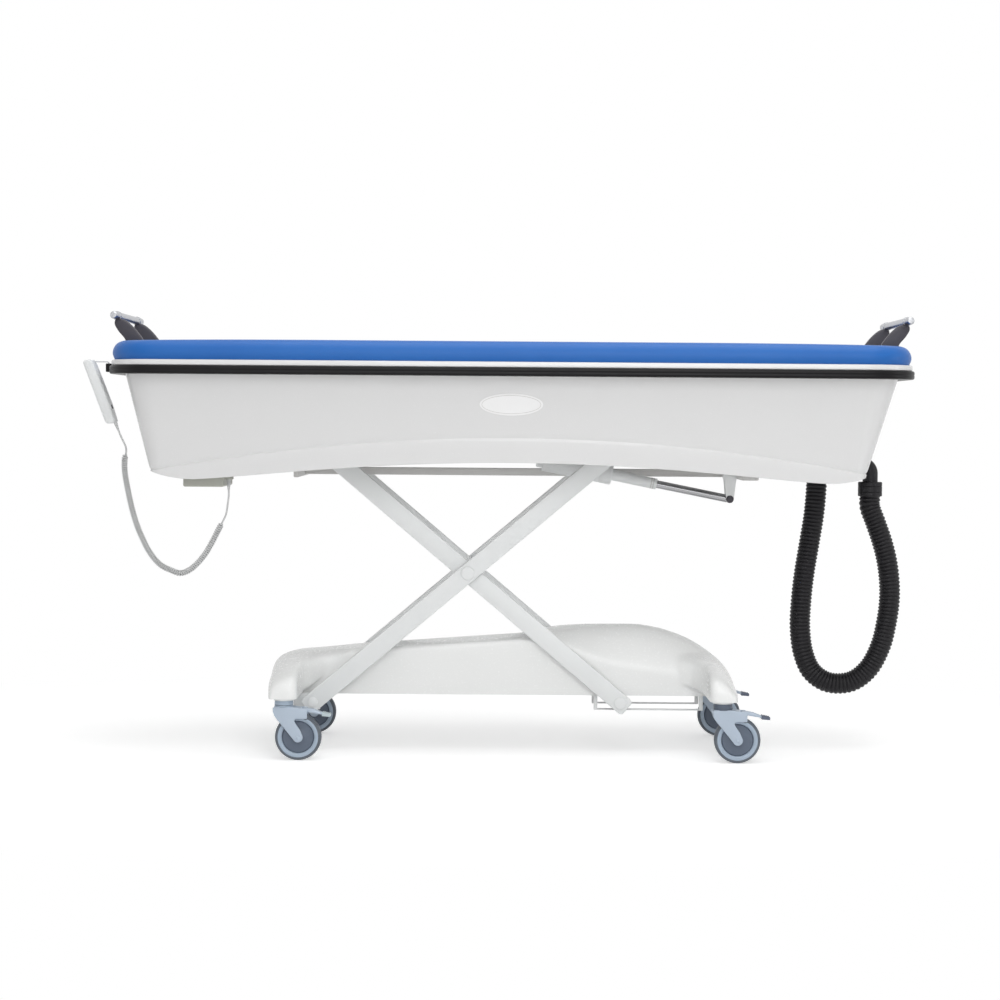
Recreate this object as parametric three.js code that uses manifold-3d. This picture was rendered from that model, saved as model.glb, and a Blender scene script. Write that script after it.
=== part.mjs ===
// Height-adjustable shower trolley: a padded tub on a scissor lift, over a covered base on four castors.
// Millimetres, +Z up, +X towards the drain end, -Y is the side with the hand control.
import * as THREE from "three";
import { mergeVertices } from "three/addons/utils/BufferGeometryUtils.js";
import Module from "manifold-3d";

const wasm = await Module();
wasm.setup();

// Driving sizes of the whole trolley
const tub_length = 2150; // over the bumper
const tub_width = 780;
const tub_corner = 130;
const tub_centre_x = 16; // the tub sits a little towards the drain end of the base
const castor_reach_x = 590; // swivel axes, either side of the base's middle
const castor_reach_y = 260;
const pivot_x = -523; // fixed pivots of both pairs of scissor arms
const pivot_z = 140;
const arm_half = 553; // from the centre pivot to either end pivot
const arm_angle = THREE.MathUtils.degToRad(40.2); // as photographed
const gap = 0.3; // between pieces that touch
const running = 0.6; // between a shaft's facets and its bore's
const overrun = 5; // a cutting tool past what it cuts

// Places that follow from the driving sizes
const arm_rise = arm_half * Math.sin(arm_angle);
const arm_run = arm_half * Math.cos(arm_angle);
const centre_x = pivot_x + arm_run;
const centre_z = pivot_z + arm_rise;
const roller_x = pivot_x + arm_run * 2;
const upper_z = pivot_z + arm_rise * 2;

// Finishes
const finishes = {
  gloss_white: [0xe4e2df, 0.22, 0],
  cover_white: [0xe2e3e1, 0.4, 0],
  arm_white: [0xdadddb, 0.35, 0.1],
  frame_grey: [0x9c9a98, 0.5, 0.3],
  pad_blue: [0x2459b0, 0.5, 0],
  bumper_black: [0x242226, 0.6, 0],
  handle_grey: [0x4a474d, 0.6, 0],
  bar_silver: [0xc9cbd0, 0.3, 0.8],
  rod_chrome: [0xb9bbc0, 0.15, 1],
  castor_blue: [0xa9b7c8, 0.45, 0],
  pedal_tip: [0x5d6474, 0.6, 0],
  wheel_grey: [0x8f9bab, 0.55, 0],
  hose_black: [0x262427, 0.6, 0],
  cord_grey: [0xa4a6a6, 0.55, 0],
  control_grey: [0xb8bcba, 0.5, 0],
  slab_olive: [0x8f8f82, 0.6, 0],
  button_grey: [0x6e7375, 0.5, 0],
};
function finish(name) {
  const [color, roughness, metalness] = finishes[name];
  return new THREE.MeshStandardMaterial({ color, roughness, metalness });
}
function piece(name, look, geometry, parent) {
  const mesh = new THREE.Mesh(geometry, finish(look));
  mesh.name = name;
  parent.add(mesh);
  return mesh;
}

// Joining and cutting of closed meshes
function solidOf(geometry) {
  const bare = geometry.clone();
  bare.deleteAttribute("normal");
  bare.deleteAttribute("uv");
  const merged = mergeVertices(bare, 1e-4);
  return new wasm.Manifold(
    new wasm.Mesh({
      numProp: 3,
      vertProperties: new Float32Array(merged.attributes.position.array),
      triVerts: new Uint32Array(merged.index.array),
    }),
  );
}
function geometryOf(solid) {
  const mesh = solid.getMesh();
  const geometry = new THREE.BufferGeometry();
  geometry.setAttribute("position", new THREE.BufferAttribute(new Float32Array(mesh.vertProperties), 3));
  geometry.setIndex(new THREE.BufferAttribute(new Uint32Array(mesh.triVerts), 1));
  return geometry;
}
function join(...shapes) {
  return geometryOf(shapes.map(solidOf).reduce((whole, next) => whole.add(next)));
}
function cut(shape, ...tools) {
  return geometryOf(tools.map(solidOf).reduce((rest, tool) => rest.subtract(tool), solidOf(shape)));
}

// Simple solids
const point = (x, y, z) => new THREE.Vector3(x, y, z);
function block(x0, x1, y0, y1, z0, z1) {
  const box = new THREE.BoxGeometry(x1 - x0, y1 - y0, z1 - z0);
  return box.translate((x0 + x1) / 2, (y0 + y1) / 2, (z0 + z1) / 2);
}
function rod(radius, from, to, sides = 16, end_radius = radius) {
  const axis = to.clone().sub(from);
  const shape = new THREE.CylinderGeometry(end_radius, radius, axis.length(), sides);
  shape.rotateY(Math.PI / sides); // a flat, not an edge, faces each way
  shape.applyQuaternion(new THREE.Quaternion().setFromUnitVectors(point(0, 1, 0), axis.clone().normalize()));
  return shape.translate((from.x + to.x) / 2, (from.y + to.y) / 2, (from.z + to.z) / 2);
}
function outline(points) {
  return new THREE.Shape(points.map(([a, b]) => new THREE.Vector2(a, b)));
}
// A round hole whose flats, not its corners, lie at the radius.
function hole(x, z, radius, sides = 12) {
  const reach = radius / Math.cos(Math.PI / sides);
  const turn = (i) => (Math.PI * 2 * (i + 1 / 2)) / sides;
  const corners = Array.from({ length: sides }, (_, i) =>
    new THREE.Vector2(x + reach * Math.cos(turn(i)), z + reach * Math.sin(turn(i))));
  return new THREE.Path(corners);
}
// A side-view outline, given as x and z, made thick from y0 to y1.
function sidePlate(shape, y0, y1, steps = 6) {
  const plate = new THREE.ExtrudeGeometry(shape, { depth: y1 - y0, bevelEnabled: false, curveSegments: steps });
  return plate.rotateX(Math.PI / 2).translate(0, y1, 0);
}
// An end-view outline, given as y and z, drawn out from x0 to x1.
function lengthwise(shape, x0, x1) {
  const bar = new THREE.ExtrudeGeometry(shape, { depth: x1 - x0, bevelEnabled: false, curveSegments: 6 });
  bar.applyMatrix4(new THREE.Matrix4().makeBasis(point(0, 1, 0), point(0, 0, 1), point(1, 0, 0)));
  return bar.translate(x0, 0, 0);
}
// A skin through rings of equal point counts, closed by a fan at each end, or by its last ring meeting its first.
function loft(rings, { cyclic = false } = {}) {
  const count = rings[0].length;
  const position = rings.flat().flatMap((p) => [p.x, p.y, p.z]);
  const index = [];
  const quads = cyclic ? rings.length : rings.length - 1;
  for (let r = 0; r < quads; r++) {
    const next = (r + 1) % rings.length;
    for (let i = 0; i < count; i++) {
      const j = (i + 1) % count;
      index.push(r * count + i, r * count + j, next * count + j);
      index.push(r * count + i, next * count + j, next * count + i);
    }
  }
  const closeEnd = (first, ring, backwards) => {
    const middle = ring.reduce((sum, p) => sum.add(p), new THREE.Vector3()).divideScalar(count);
    const hub = position.length / 3;
    position.push(middle.x, middle.y, middle.z);
    for (let i = 0; i < count; i++) {
      const [a, b] = [first + i, first + ((i + 1) % count)];
      index.push(...(backwards ? [hub, b, a] : [hub, a, b]));
    }
  };
  if (!cyclic) {
    closeEnd(0, rings[0], true);
    closeEnd((rings.length - 1) * count, rings.at(-1), false);
  }
  return facingOut(position, index);
}
// Any closed geometry with its repeated vertices joined and its faces pointing out.
function outward(geometry) {
  geometry.deleteAttribute("normal");
  geometry.deleteAttribute("uv");
  const merged = mergeVertices(geometry, 1e-4);
  return facingOut(Array.from(merged.attributes.position.array), Array.from(merged.index.array));
}
function facingOut(position, index) {
  let volume = 0;
  const corner = (i) => point(position[i * 3], position[i * 3 + 1], position[i * 3 + 2]);
  for (let i = 0; i < index.length; i += 3) {
    const [a, b, c] = [corner(index[i]), corner(index[i + 1]), corner(index[i + 2])];
    volume += a.dot(b.cross(c));
  }
  if (volume < 0) index.reverse();
  const geometry = new THREE.BufferGeometry();
  geometry.setAttribute("position", new THREE.Float32BufferAttribute(position, 3));
  geometry.setIndex(index);
  return geometry;
}

// Groups: what stands on the floor, what the lift carries
const trolley = new THREE.Group();
const chassis = new THREE.Group();
const platform = new THREE.Group();
const scissor = new THREE.Group();
trolley.add(chassis, platform, scissor);
const sides = { near: -1, far: 1 };
const ends = { left: -1, right: 1 };

// Base frame: two cross members with castor sockets, two rails, roller tracks and pivot lugs
const member_width = 56;
const member_bottom = 163;
const member_top = 198;
const socket_radius = 28;
const socket_bottom = 160.5;
const socket_top = 186;
const rail_inner = 38;
const rail_outer = 78;
const rail_bottom = 176;
const rail_top = 214;
const stem_radius = 8;
const stem_top = 181;
const lug_inner = 104;
const lug_outer = 117;
const lug_reach = 18; // the lug past the pivot
const lug_bottom = 117;
const lug_sunk = 12; // where it ends in the cross member, from the swivel axis
const lug_left = castor_reach_x - lug_sunk;
const shaft_radius = 10;
const shaft_cap = 14;
const shaft_cap_thick = 3;
const arm_depth = 50;
const arm_thick = 20;
const inner_arm_y = 95; // inner face of the inner pair
const outer_arm_y = 120;
const roller_radius = 20;
const roller_width = 18;
const roller_inset = 15; // between the roller and its arm
const track_thick = 3;
const track_left = 250;
const track_inset = 38; // from the swivel axes
const track_right = castor_reach_x - track_inset;
const track_post = 10;
const seat_places = [-400, 100]; // pads on each rail that the base cover is fixed to
const seat_length = 20;
const seat_bottom = 185;
const seat_top = 205;
const roller_outer_y = inner_arm_y - roller_inset;
const roller_inner_y = roller_outer_y - roller_width;
const member_near_x = castor_reach_x - member_width / 2;
const cover_wall = 3.5;
const keel_half = 88; // outside the base cover's side walls
const seat_outer = keel_half - cover_wall - gap;

function crossMember(end) {
  const x = end * castor_reach_x;
  const beam = block(x - member_width / 2, x + member_width / 2, -castor_reach_y, castor_reach_y,
    member_bottom, member_top);
  const sockets = Object.values(sides).map((s) =>
    rod(socket_radius, point(x, s * castor_reach_y, socket_bottom), point(x, s * castor_reach_y, socket_top), 16));
  const bores = Object.values(sides).map((s) =>
    rod(stem_radius + running, point(x, s * castor_reach_y, 0),
      point(x, s * castor_reach_y, stem_top + gap), 10));
  const lugs = end < 0 ? Object.values(sides).map(pivotLug) : [];
  return cut(join(beam, ...sockets, ...lugs), ...bores);
}
function pivotLug(s) {
  const x0 = -lug_left;
  const x1 = pivot_x + lug_reach;
  const top = member_bottom - gap;
  const shape = outline([[x0, lug_bottom], [x1, lug_bottom], [x1, top], [-member_near_x, top],
    [-member_near_x, member_bottom + overrun], [x0, member_bottom + overrun]]);
  shape.holes.push(hole(pivot_x, pivot_z, shaft_radius + gap));
  return sidePlate(shape, Math.min(s * lug_inner, s * lug_outer), Math.max(s * lug_inner, s * lug_outer), 8);
}
function baseRail(s) {
  const low = Math.min(s * rail_inner, s * rail_outer);
  const rail = block(-member_near_x + gap, member_near_x - gap, low, low + rail_outer - rail_inner,
    rail_bottom, rail_top);
  const strap_top = pivot_z - roller_radius - gap;
  const strap_low = strap_top - track_thick;
  const y0 = Math.min(s * roller_inner_y, s * roller_outer_y);
  const strap = block(track_left, track_right, y0, y0 + roller_width, strap_low, strap_top);
  const posts = [track_left, track_right - track_post].map((x) =>
    block(x, x + track_post, y0, y0 + roller_width, strap_low, rail_bottom + overrun));
  const near_y = Math.min(s * (rail_outer - overrun), s * seat_outer);
  const far_y = Math.max(s * (rail_outer - overrun), s * seat_outer);
  const seats = seat_places.map((x) => block(x, x + seat_length, near_y, far_y, seat_bottom, seat_top));
  return join(rail, strap, ...posts, ...seats);
}
for (const [end_name, end] of Object.entries(ends)) {
  piece(end_name + "_cross_member", "cover_white", crossMember(end), chassis);
}
for (const [side_name, s] of Object.entries(sides)) {
  piece(side_name + "_base_rail", "frame_grey", baseRail(s), chassis);
}

// Lower pivot shaft, which the outer arms turn on
const outer_arm_outer_y = outer_arm_y + arm_thick;
const lower_shaft = join(
  rod(shaft_radius, point(pivot_x, -outer_arm_outer_y - overrun, pivot_z),
    point(pivot_x, outer_arm_outer_y + overrun, pivot_z), 16),
  ...Object.values(sides).map((s) => rod(shaft_cap,
    point(pivot_x, s * (outer_arm_outer_y + running), pivot_z),
    point(pivot_x, s * (outer_arm_outer_y + running + shaft_cap_thick), pivot_z), 16)),
);
piece("lower_pivot_shaft", "frame_grey", lower_shaft, chassis);

// Base cover: an open-bottomed keel between the arms, a hump over the battery and a wing over each cross member
const cover_bottom = 158;
const cover_overhang = 58; // the bow of each end past the swivel axes, at the middle
const cover_end = castor_reach_x + cover_overhang;
const end_bow = 20; // how far the ends draw back at the castors
const wing_inset = 36; // from the swivel axes
const wing_inner = castor_reach_x - wing_inset;
const wing_half = 294;
const hump_top = 349;
// Stations along the keel: share of the half length, then its side wall's and its crest's share of the hump's top
const keel_station_shares = [
  [-0.995, 0.61, 0.63], [-0.965, 0.71, 0.72], [-0.89, 0.745, 0.77], [-0.784, 0.768, 0.788],
  [-0.625, 0.795, 0.819], [-0.384, 0.831, 0.851], [-0.065, 0.874, 0.894], [0.093, 0.891, 0.92],
  [0.2, 0.877, 0.974], [0.293, 0.831, 0.994], [0.446, 0.734, 1], [0.576, 0.696, 0.986],
  [0.702, 0.682, 0.934], [0.827, 0.676, 0.837], [0.921, 0.66, 0.72], [0.995, 0.54, 0.57],
];
const crown_share = [0.97, 0.78, 0.42, 0]; // across the half width, from side wall to crest
const keel_bevel = 6;
function keelRing([x, side, crest], inset) {
  const half = keel_half - inset;
  const low = inset > 0 ? cover_bottom - overrun : cover_bottom;
  const top = side - inset;
  const rise = Math.max(crest - side, 0);
  const half_ring = [[half, low], [half, top - keel_bevel]];
  crown_share.forEach((share) => half_ring.push([half * share, top + rise * Math.sqrt(1 - share * share)]));
  const mirrored = half_ring.slice(0, -1).reverse().map(([y, z]) => [-y, z]);
  return [...half_ring, ...mirrored].map(([y, z]) => point(x, y, z));
}
function keel(inset) {
  const stations = keel_station_shares.map(([along, side, crest]) =>
    [along * (cover_end - inset), side * hump_top, crest * hump_top]);
  return loft(stations.map((station) => keelRing(station, inset)));
}
// A wing is drawn across the trolley: its height falls towards the castors.
const wing_width_shares = [1, 0.975, 0.86, 0.6, 0.3]; // of the half width
const wing_top_shares = [0.555, 0.615, 0.685, 0.735, 0.765]; // of the hump's top
const wing_shoulder = 60; // how far in the outer shoulder reaches
const wing_inner_shoulder = 17;
const shoulder_shares = [[0, 0.75], [0.1, 0.46], [0.35, 0.21], [0.7, 0.05], [1, 0]]; // in, and down from the top
const wing_bottom = 166;
function wingRing(end, y, top, inset) {
  const bow = end_bow * (y / wing_half) ** 2;
  const x_out = end * (cover_end - bow - inset);
  const x_in = end * (wing_inner + inset);
  const low = inset > 0 ? wing_bottom - overrun : wing_bottom;
  const high = top - inset;
  const shoulder = shoulder_shares.map(([inward, down]) =>
    [x_out - end * wing_shoulder * inward, high - (top - wing_bottom) * down]);
  return [[x_out, low], ...shoulder, [x_in + end * wing_inner_shoulder, high],
    [x_in, high - wing_inner_shoulder], [x_in, low]].map(([x, z]) => point(x, y, z));
}
function wing(end, inset) {
  const half = wing_half - inset;
  const ring = (s) => (share, i) => wingRing(end, s * half * share, wing_top_shares[i] * hump_top, inset);
  const rings = wing_width_shares.map(ring(-1));
  const other = wing_width_shares.map(ring(1)).reverse();
  return loft([...rings, ...other]);
}
const cover_solid = join(keel(0), wing(-1, 0), wing(1, 0));
const cover_hollow = join(keel(cover_wall), wing(-1, cover_wall), wing(1, cover_wall));
piece("base_cover", "cover_white", cut(cover_solid, cover_hollow), chassis);

// Battery pack under the hump, standing on the base rails
const battery_left = 205;
const battery_right = 430;
const battery_half = 55;
const battery_top = 290;
piece("battery_pack", "handle_grey",
  block(battery_left, battery_right, -battery_half, battery_half, rail_top + gap, battery_top), chassis);

// Castors: a swivelling fork with its brake pedal, and a wheel, all trailing towards the drain end
const wheel_radius = 62.5;
const wheel_width = 32;
const wheel_sides = 20;
const tread_bevel = 4;
const rim_radius = 54;
const rim_inset = 2;
const disc_radius = 44;
const disc_inset = 7;
const hub_radius = 12;
const axle_radius = 5.5;
const trail = 39;
const fork_leg = 5;
const fork_clear = 1.8; // between the wheel and a leg
const leg_half = 13; // half the width of a leg, in side view
const collar_radius = 25;
const collar_bottom = 144;
const collar_top = 160;
const bridge_bottom = 128;
const bridge_right = 62;
const bridge_left = -24;
const pedal_length = 70;
const pedal_thick = 9;
const pedal_half = 14;
const pedal_pivot_x = 56;
const pedal_pivot_z = 136;
const pedal_drop = 12;
const pedal_tip_length = 22;
const pedal_tip_half = 16;
const fork_inner_y = wheel_width / 2 + fork_clear;
const fork_outer_y = fork_inner_y + fork_leg;

function wheel() {
  const half = wheel_width / 2;
  const bore = axle_radius + running;
  const profile = [[bore, -half], [hub_radius, -half], [disc_radius, -half + disc_inset],
    [rim_radius, -half + rim_inset], [wheel_radius - tread_bevel, -half], [wheel_radius, -half + tread_bevel]];
  const mirrored = profile.slice().reverse().map(([r, y]) => [r, -y]);
  const corner = 1 / Math.cos(Math.PI / wheel_sides); // so that the flats lie at the wheel's radius
  const points = [...profile, ...mirrored, profile[0]].map(([r, y]) => new THREE.Vector2(r * corner, y));
  return outward(new THREE.LatheGeometry(points, wheel_sides, Math.PI / wheel_sides));
}
function forkLeg(y0) {
  const slope = Math.atan2(collar_bottom - wheel_radius, trail);
  const side_x = leg_half * Math.sin(slope);
  const side_z = leg_half * Math.cos(slope);
  const shape = new THREE.Shape();
  shape.moveTo(bridge_left, collar_bottom);
  shape.lineTo(bridge_left / 2, bridge_bottom - leg_half);
  shape.lineTo(trail - side_x, wheel_radius - side_z);
  shape.absarc(trail, wheel_radius, leg_half, Math.PI + Math.PI / 2 - slope, Math.PI / 2 - slope, false);
  shape.lineTo(trail - leg_half / 2, bridge_bottom - leg_half);
  shape.lineTo(bridge_right, bridge_bottom);
  shape.lineTo(bridge_right, pedal_pivot_z + pedal_thick / 2);
  shape.lineTo(collar_radius, collar_bottom);
  return sidePlate(shape, y0, y0 + fork_leg, 3);
}
function fork() {
  const bridge_shape = outline([[bridge_left, bridge_bottom], [pedal_pivot_x - pedal_thick - gap, bridge_bottom],
    [pedal_pivot_x - pedal_thick - gap, pedal_pivot_z + pedal_thick / 2], [collar_radius, collar_bottom],
    [bridge_left, collar_bottom]]);
  const bridge = sidePlate(bridge_shape, -fork_outer_y, fork_outer_y);
  return join(
    bridge,
    forkLeg(-fork_outer_y),
    forkLeg(fork_inner_y),
    rod(collar_radius, point(0, 0, collar_bottom - overrun / 2), point(0, 0, collar_top), 14),
    rod(stem_radius, point(0, 0, collar_bottom), point(0, 0, stem_top), 8),
    rod(axle_radius, point(trail, -fork_outer_y, wheel_radius), point(trail, fork_outer_y, wheel_radius), 8),
    rod(axle_radius / 2, point(pedal_pivot_x, -fork_outer_y, pedal_pivot_z),
      point(pedal_pivot_x, fork_outer_y, pedal_pivot_z), 6),
  );
}
function pedal() {
  const x0 = pedal_pivot_x - pedal_thick / 2;
  const x1 = pedal_pivot_x + pedal_length;
  const low = pedal_pivot_z - pedal_thick / 2;
  const lever = outline([[x0, low], [x1, low - pedal_drop], [x1, low - pedal_drop + pedal_thick / 2],
    [x0, low + pedal_thick]]);
  const tip = outline([[x1 - pedal_tip_length, low - pedal_drop - gap], [x1, low - pedal_drop - pedal_thick / 3],
    [x1, low - pedal_drop + pedal_thick * 0.7], [x1 - pedal_tip_length, low - pedal_drop + pedal_thick]]);
  const body = join(sidePlate(lever, -pedal_half, pedal_half), sidePlate(tip, -pedal_tip_half, pedal_tip_half));
  return cut(body, rod(axle_radius / 2 + running, point(pedal_pivot_x, -pedal_tip_half, pedal_pivot_z),
    point(pedal_pivot_x, pedal_tip_half, pedal_pivot_z), 8));
}
for (const [side_name, s] of Object.entries(sides)) {
  for (const [end_name, end] of Object.entries(ends)) {
    const castor = new THREE.Group();
    castor.position.set(end * castor_reach_x, s * castor_reach_y, 0);
    chassis.add(castor);
    const name = side_name + "_" + end_name;
    piece(name + "_fork", "castor_blue", fork(), castor);
    piece(name + "_pedal", "castor_blue", pedal(), castor);
    const turning = piece(name + "_wheel", "wheel_grey", wheel(), castor);
    turning.position.set(trail, 0, wheel_radius);
  }
}

// Scissor arms: rectangular tubes, square-cut past their pivots, crossing at the centre shaft
const arm_end = 25; // past a pivot
const arm_corner = 10;
const centre_cap = 18.5;
const cross_tube_radius = 13;
const inner_tube_along = 155; // from the centre pivot, towards the upper end
const stub_radius = 8;

// Outline of an arm that lies along X, its centre pivot at the origin, its pivots given as x and hole radius.
function armShape(holes) {
  const x = arm_half + arm_end;
  const z = arm_depth / 2;
  const shape = new THREE.Shape();
  shape.moveTo(-x + arm_corner, -z);
  shape.lineTo(x - arm_corner, -z);
  shape.absarc(x - arm_corner, -z + arm_corner, arm_corner, -Math.PI / 2, 0, false);
  shape.absarc(x - arm_corner, z - arm_corner, arm_corner, 0, Math.PI / 2, false);
  shape.absarc(-x + arm_corner, z - arm_corner, arm_corner, Math.PI / 2, Math.PI, false);
  shape.absarc(-x + arm_corner, -z + arm_corner, arm_corner, Math.PI, Math.PI * 1.5, false);
  holes.forEach(([place, radius]) => {
    shape.holes.push(hole(place, 0, radius));
  });
  return shape;
}
function armPlate(holes, inner_y, s) {
  const y0 = Math.min(s * inner_y, s * (inner_y + arm_thick));
  return sidePlate(armShape(holes), y0, y0 + arm_thick, 2);
}
const crossing = point(centre_x, 0, centre_z);
function alongInner(distance) {
  return crossing.clone().add(point(-Math.cos(arm_angle) * distance, 0, Math.sin(arm_angle) * distance));
}
function alongOuter(distance) {
  return crossing.clone().add(point(Math.cos(arm_angle) * distance, 0, Math.sin(arm_angle) * distance));
}
function across(radius, place, half_length, round = 12) {
  return rod(radius, point(place.x, -half_length, place.z), point(place.x, half_length, place.z), round);
}
const bore = shaft_radius + running;
for (const [side_name, s] of Object.entries(sides)) {
  const outer = armPlate([[-arm_half, bore], [0, shaft_radius + gap], [arm_half, stub_radius + running]],
    outer_arm_y, s);
  const outer_arm = piece(side_name + "_outer_arm", "arm_white", outer, scissor);
  outer_arm.geometry.rotateY(-arm_angle).translate(crossing.x, 0, crossing.z);
  const stub = rod(stub_radius, point(arm_half, s * (inner_arm_y + overrun), 0),
    point(arm_half, s * (roller_inner_y - overrun / 2), 0), 12);
  const stub_collar = rod(stub_radius * 1.5, point(arm_half, s * (inner_arm_y + overrun), 0),
    point(arm_half, s * (roller_outer_y + running), 0), 12);
  const inner = join(armPlate([[-arm_half, bore], [0, bore]], inner_arm_y, s), stub, stub_collar);
  const inner_arm = piece(side_name + "_inner_arm", "arm_white", inner, scissor);
  inner_arm.geometry.rotateY(arm_angle).translate(crossing.x, 0, crossing.z);
  const roller_tool = rod(roller_radius, point(roller_x, s * roller_inner_y, pivot_z),
    point(roller_x, s * roller_outer_y, pivot_z), 20);
  const roller_bore = rod(stub_radius + running, point(roller_x, s * (roller_inner_y - overrun), pivot_z),
    point(roller_x, s * (roller_outer_y + overrun), pivot_z), 12);
  piece(side_name + "_lower_roller", "handle_grey", cut(roller_tool, roller_bore), scissor);
}
const centre_shaft = join(
  across(shaft_radius, crossing, outer_arm_outer_y + overrun, 16),
  ...Object.values(sides).map((s) => rod(centre_cap,
    point(crossing.x, s * (outer_arm_outer_y + gap), crossing.z),
    point(crossing.x, s * (outer_arm_outer_y + gap + overrun), crossing.z), 20)),
);
piece("centre_shaft", "arm_white", centre_shaft, scissor);
piece("inner_cross_tube", "arm_white",
  across(cross_tube_radius, alongInner(inner_tube_along), inner_arm_y - gap, 12), scissor);

// The cross tube of the outer arms, necked down where the lift's motor hangs on it
const trunnion_along = 90; // from the upper roller
const trunnion_radius = 7;
const outer_tube_radius = 10;
const eye_half = 18;
const neck_half = 30;
const trunnion = alongOuter(arm_half - trunnion_along);
const outer_tube = join(
  across(trunnion_radius, trunnion, neck_half + overrun, 12),
  ...Object.values(sides).map((s) => rod(outer_tube_radius,
    point(trunnion.x, s * neck_half, trunnion.z),
    point(trunnion.x, s * (outer_arm_y - gap), trunnion.z), 12)),
);
piece("outer_cross_tube", "arm_white", outer_tube, scissor);

// Upper rollers on one axle through the outer arms, inside the guide rails
const guide_inner_y = outer_arm_outer_y + 2;
const guide_web = 4;
const guide_flange = 4;
const upper_axle = join(
  rod(stub_radius, point(roller_x, -outer_arm_outer_y - overrun, upper_z),
    point(roller_x, outer_arm_outer_y + overrun, upper_z), 12),
  ...Object.values(sides).map((s) => rod(roller_radius,
    point(roller_x, s * (guide_inner_y + gap), upper_z),
    point(roller_x, s * (guide_inner_y + gap + roller_width), upper_z), 20)),
);
piece("upper_roller_axle", "handle_grey", upper_axle, scissor);

// Platform frame: guide rails, end beams, tie bar and the upper pivot shaft
const deck_bottom = 890;
const deck_thick = 4;
const beam_bottom = 757;
const left_beam_x = -562;
const left_beam_thick = 14;
const right_beam_x = 645;
const right_beam_thick = 45;
const tie_inner_y = 45;
const tie_outer_y = 75;
const tie_bottom = 761;
const tie_top = 782;
const guide_outer_y = guide_inner_y + roller_width + gap * 4 + guide_web;
const deck_seat = deck_bottom - gap;
const channel_low = upper_z - roller_radius - gap;
const channel_high = upper_z + roller_radius + gap;
function guideRail(s) {
  const web = guide_outer_y - guide_web;
  const shape = outline([
    [guide_inner_y, channel_low - guide_flange], [guide_outer_y, channel_low - guide_flange],
    [guide_outer_y, deck_seat], [guide_inner_y, deck_seat], [guide_inner_y, channel_high],
    [web, channel_high], [web, channel_low], [guide_inner_y, channel_low],
  ].map(([y, z]) => [s * y, z]));
  const rail = lengthwise(shape, left_beam_x + gap, right_beam_x - gap);
  return cut(rail, across(shaft_radius + gap, point(pivot_x, 0, upper_z), guide_outer_y + overrun, 16));
}
for (const [side_name, s] of Object.entries(sides)) {
  piece(side_name + "_guide_rail", "frame_grey", guideRail(s), platform);
}
const upper_shaft_place = point(pivot_x, 0, upper_z);
piece("upper_pivot_shaft", "frame_grey", across(shaft_radius, upper_shaft_place, guide_outer_y, 16), platform);
piece("left_end_beam", "frame_grey",
  block(left_beam_x - left_beam_thick, left_beam_x, -guide_outer_y, guide_outer_y, beam_bottom, deck_seat),
  platform);
piece("right_end_beam", "frame_grey",
  block(right_beam_x, right_beam_x + right_beam_thick, -guide_outer_y, guide_outer_y, beam_bottom, deck_seat),
  platform);
piece("tie_bar", "frame_grey",
  block(left_beam_x + gap, right_beam_x - gap, tie_inner_y, tie_outer_y, tie_bottom, tie_top), platform);

// Lift actuator: a rod hinged on a bracket of the platform, and a motor barrel held on the outer arms' tube
const ram_pin_x = 627;
const ram_pin_z = 701;
const ram_pin_radius = 6;
const ram_cap_radius = 10.5;
const ram_cap_thick = 3;
const cheek_inner_y = 13;
const cheek_outer_y = 18;
const ram_eye_half = 9;
const ram_rod_radius = 11;
const ram_rod_length = 213; // of the stout part
const ram_screw_radius = 6;
const ram_screw_length = 300; // with the thin part
const barrel_start = 208; // from the pin, along the ram
const sleeve_radius = 15;
const sleeve_end = 366; // where the stout bore stops
const screw_bore_end = 470;
const motor_radius = 28;
const motor_before_eye = 50;
const motor_after_eye = 146;
const end_cap_radius = 20;
const end_cap_length = 18;
const eye_offset = 20.4; // from the ram's axis up to the cross tube
const eye_slack_along = 10; // the open pivot's play
const eye_slack_across = 6;
const eye_wall = 7;
const bracket_top = 784;
const bracket_left = 609;

// The ram's slope follows from where its pin and the cross tube lie.
const ram_dx = ram_pin_x - trunnion.x;
const ram_dz = trunnion.z - ram_pin_z;
const ram_span = Math.hypot(ram_dx, ram_dz);
const ram_slope = Math.atan2(ram_dz, ram_dx) - Math.asin(eye_offset / ram_span);
const eye_x = Math.sqrt(ram_span ** 2 - eye_offset ** 2);
const ram = new THREE.Group(); // its +X runs from the pin up along the ram, its +Z down
ram.position.set(ram_pin_x, 0, ram_pin_z);
ram.rotation.set(0, Math.PI + ram_slope, 0);
scissor.add(ram);
function alongRam(radius, from, to, sides = 16) {
  return rod(radius, point(from, 0, 0), point(to, 0, 0), sides);
}
const trimmed = ram_rod_radius + overrun;
const actuator_rod = cut(
  join(alongRam(ram_rod_radius, 0, ram_rod_length), alongRam(ram_screw_radius, 0, ram_screw_length, 12),
    rod(ram_rod_radius, point(0, -ram_eye_half, 0), point(0, ram_eye_half, 0), 16)),
  rod(ram_pin_radius + running, point(0, -trimmed, 0), point(0, trimmed, 0), 12),
  block(-trimmed, trimmed, ram_eye_half, trimmed, -trimmed, trimmed),
  block(-trimmed, trimmed, -trimmed, -ram_eye_half, -trimmed, trimmed),
);
piece("actuator_rod", "rod_chrome", actuator_rod, ram);

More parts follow.
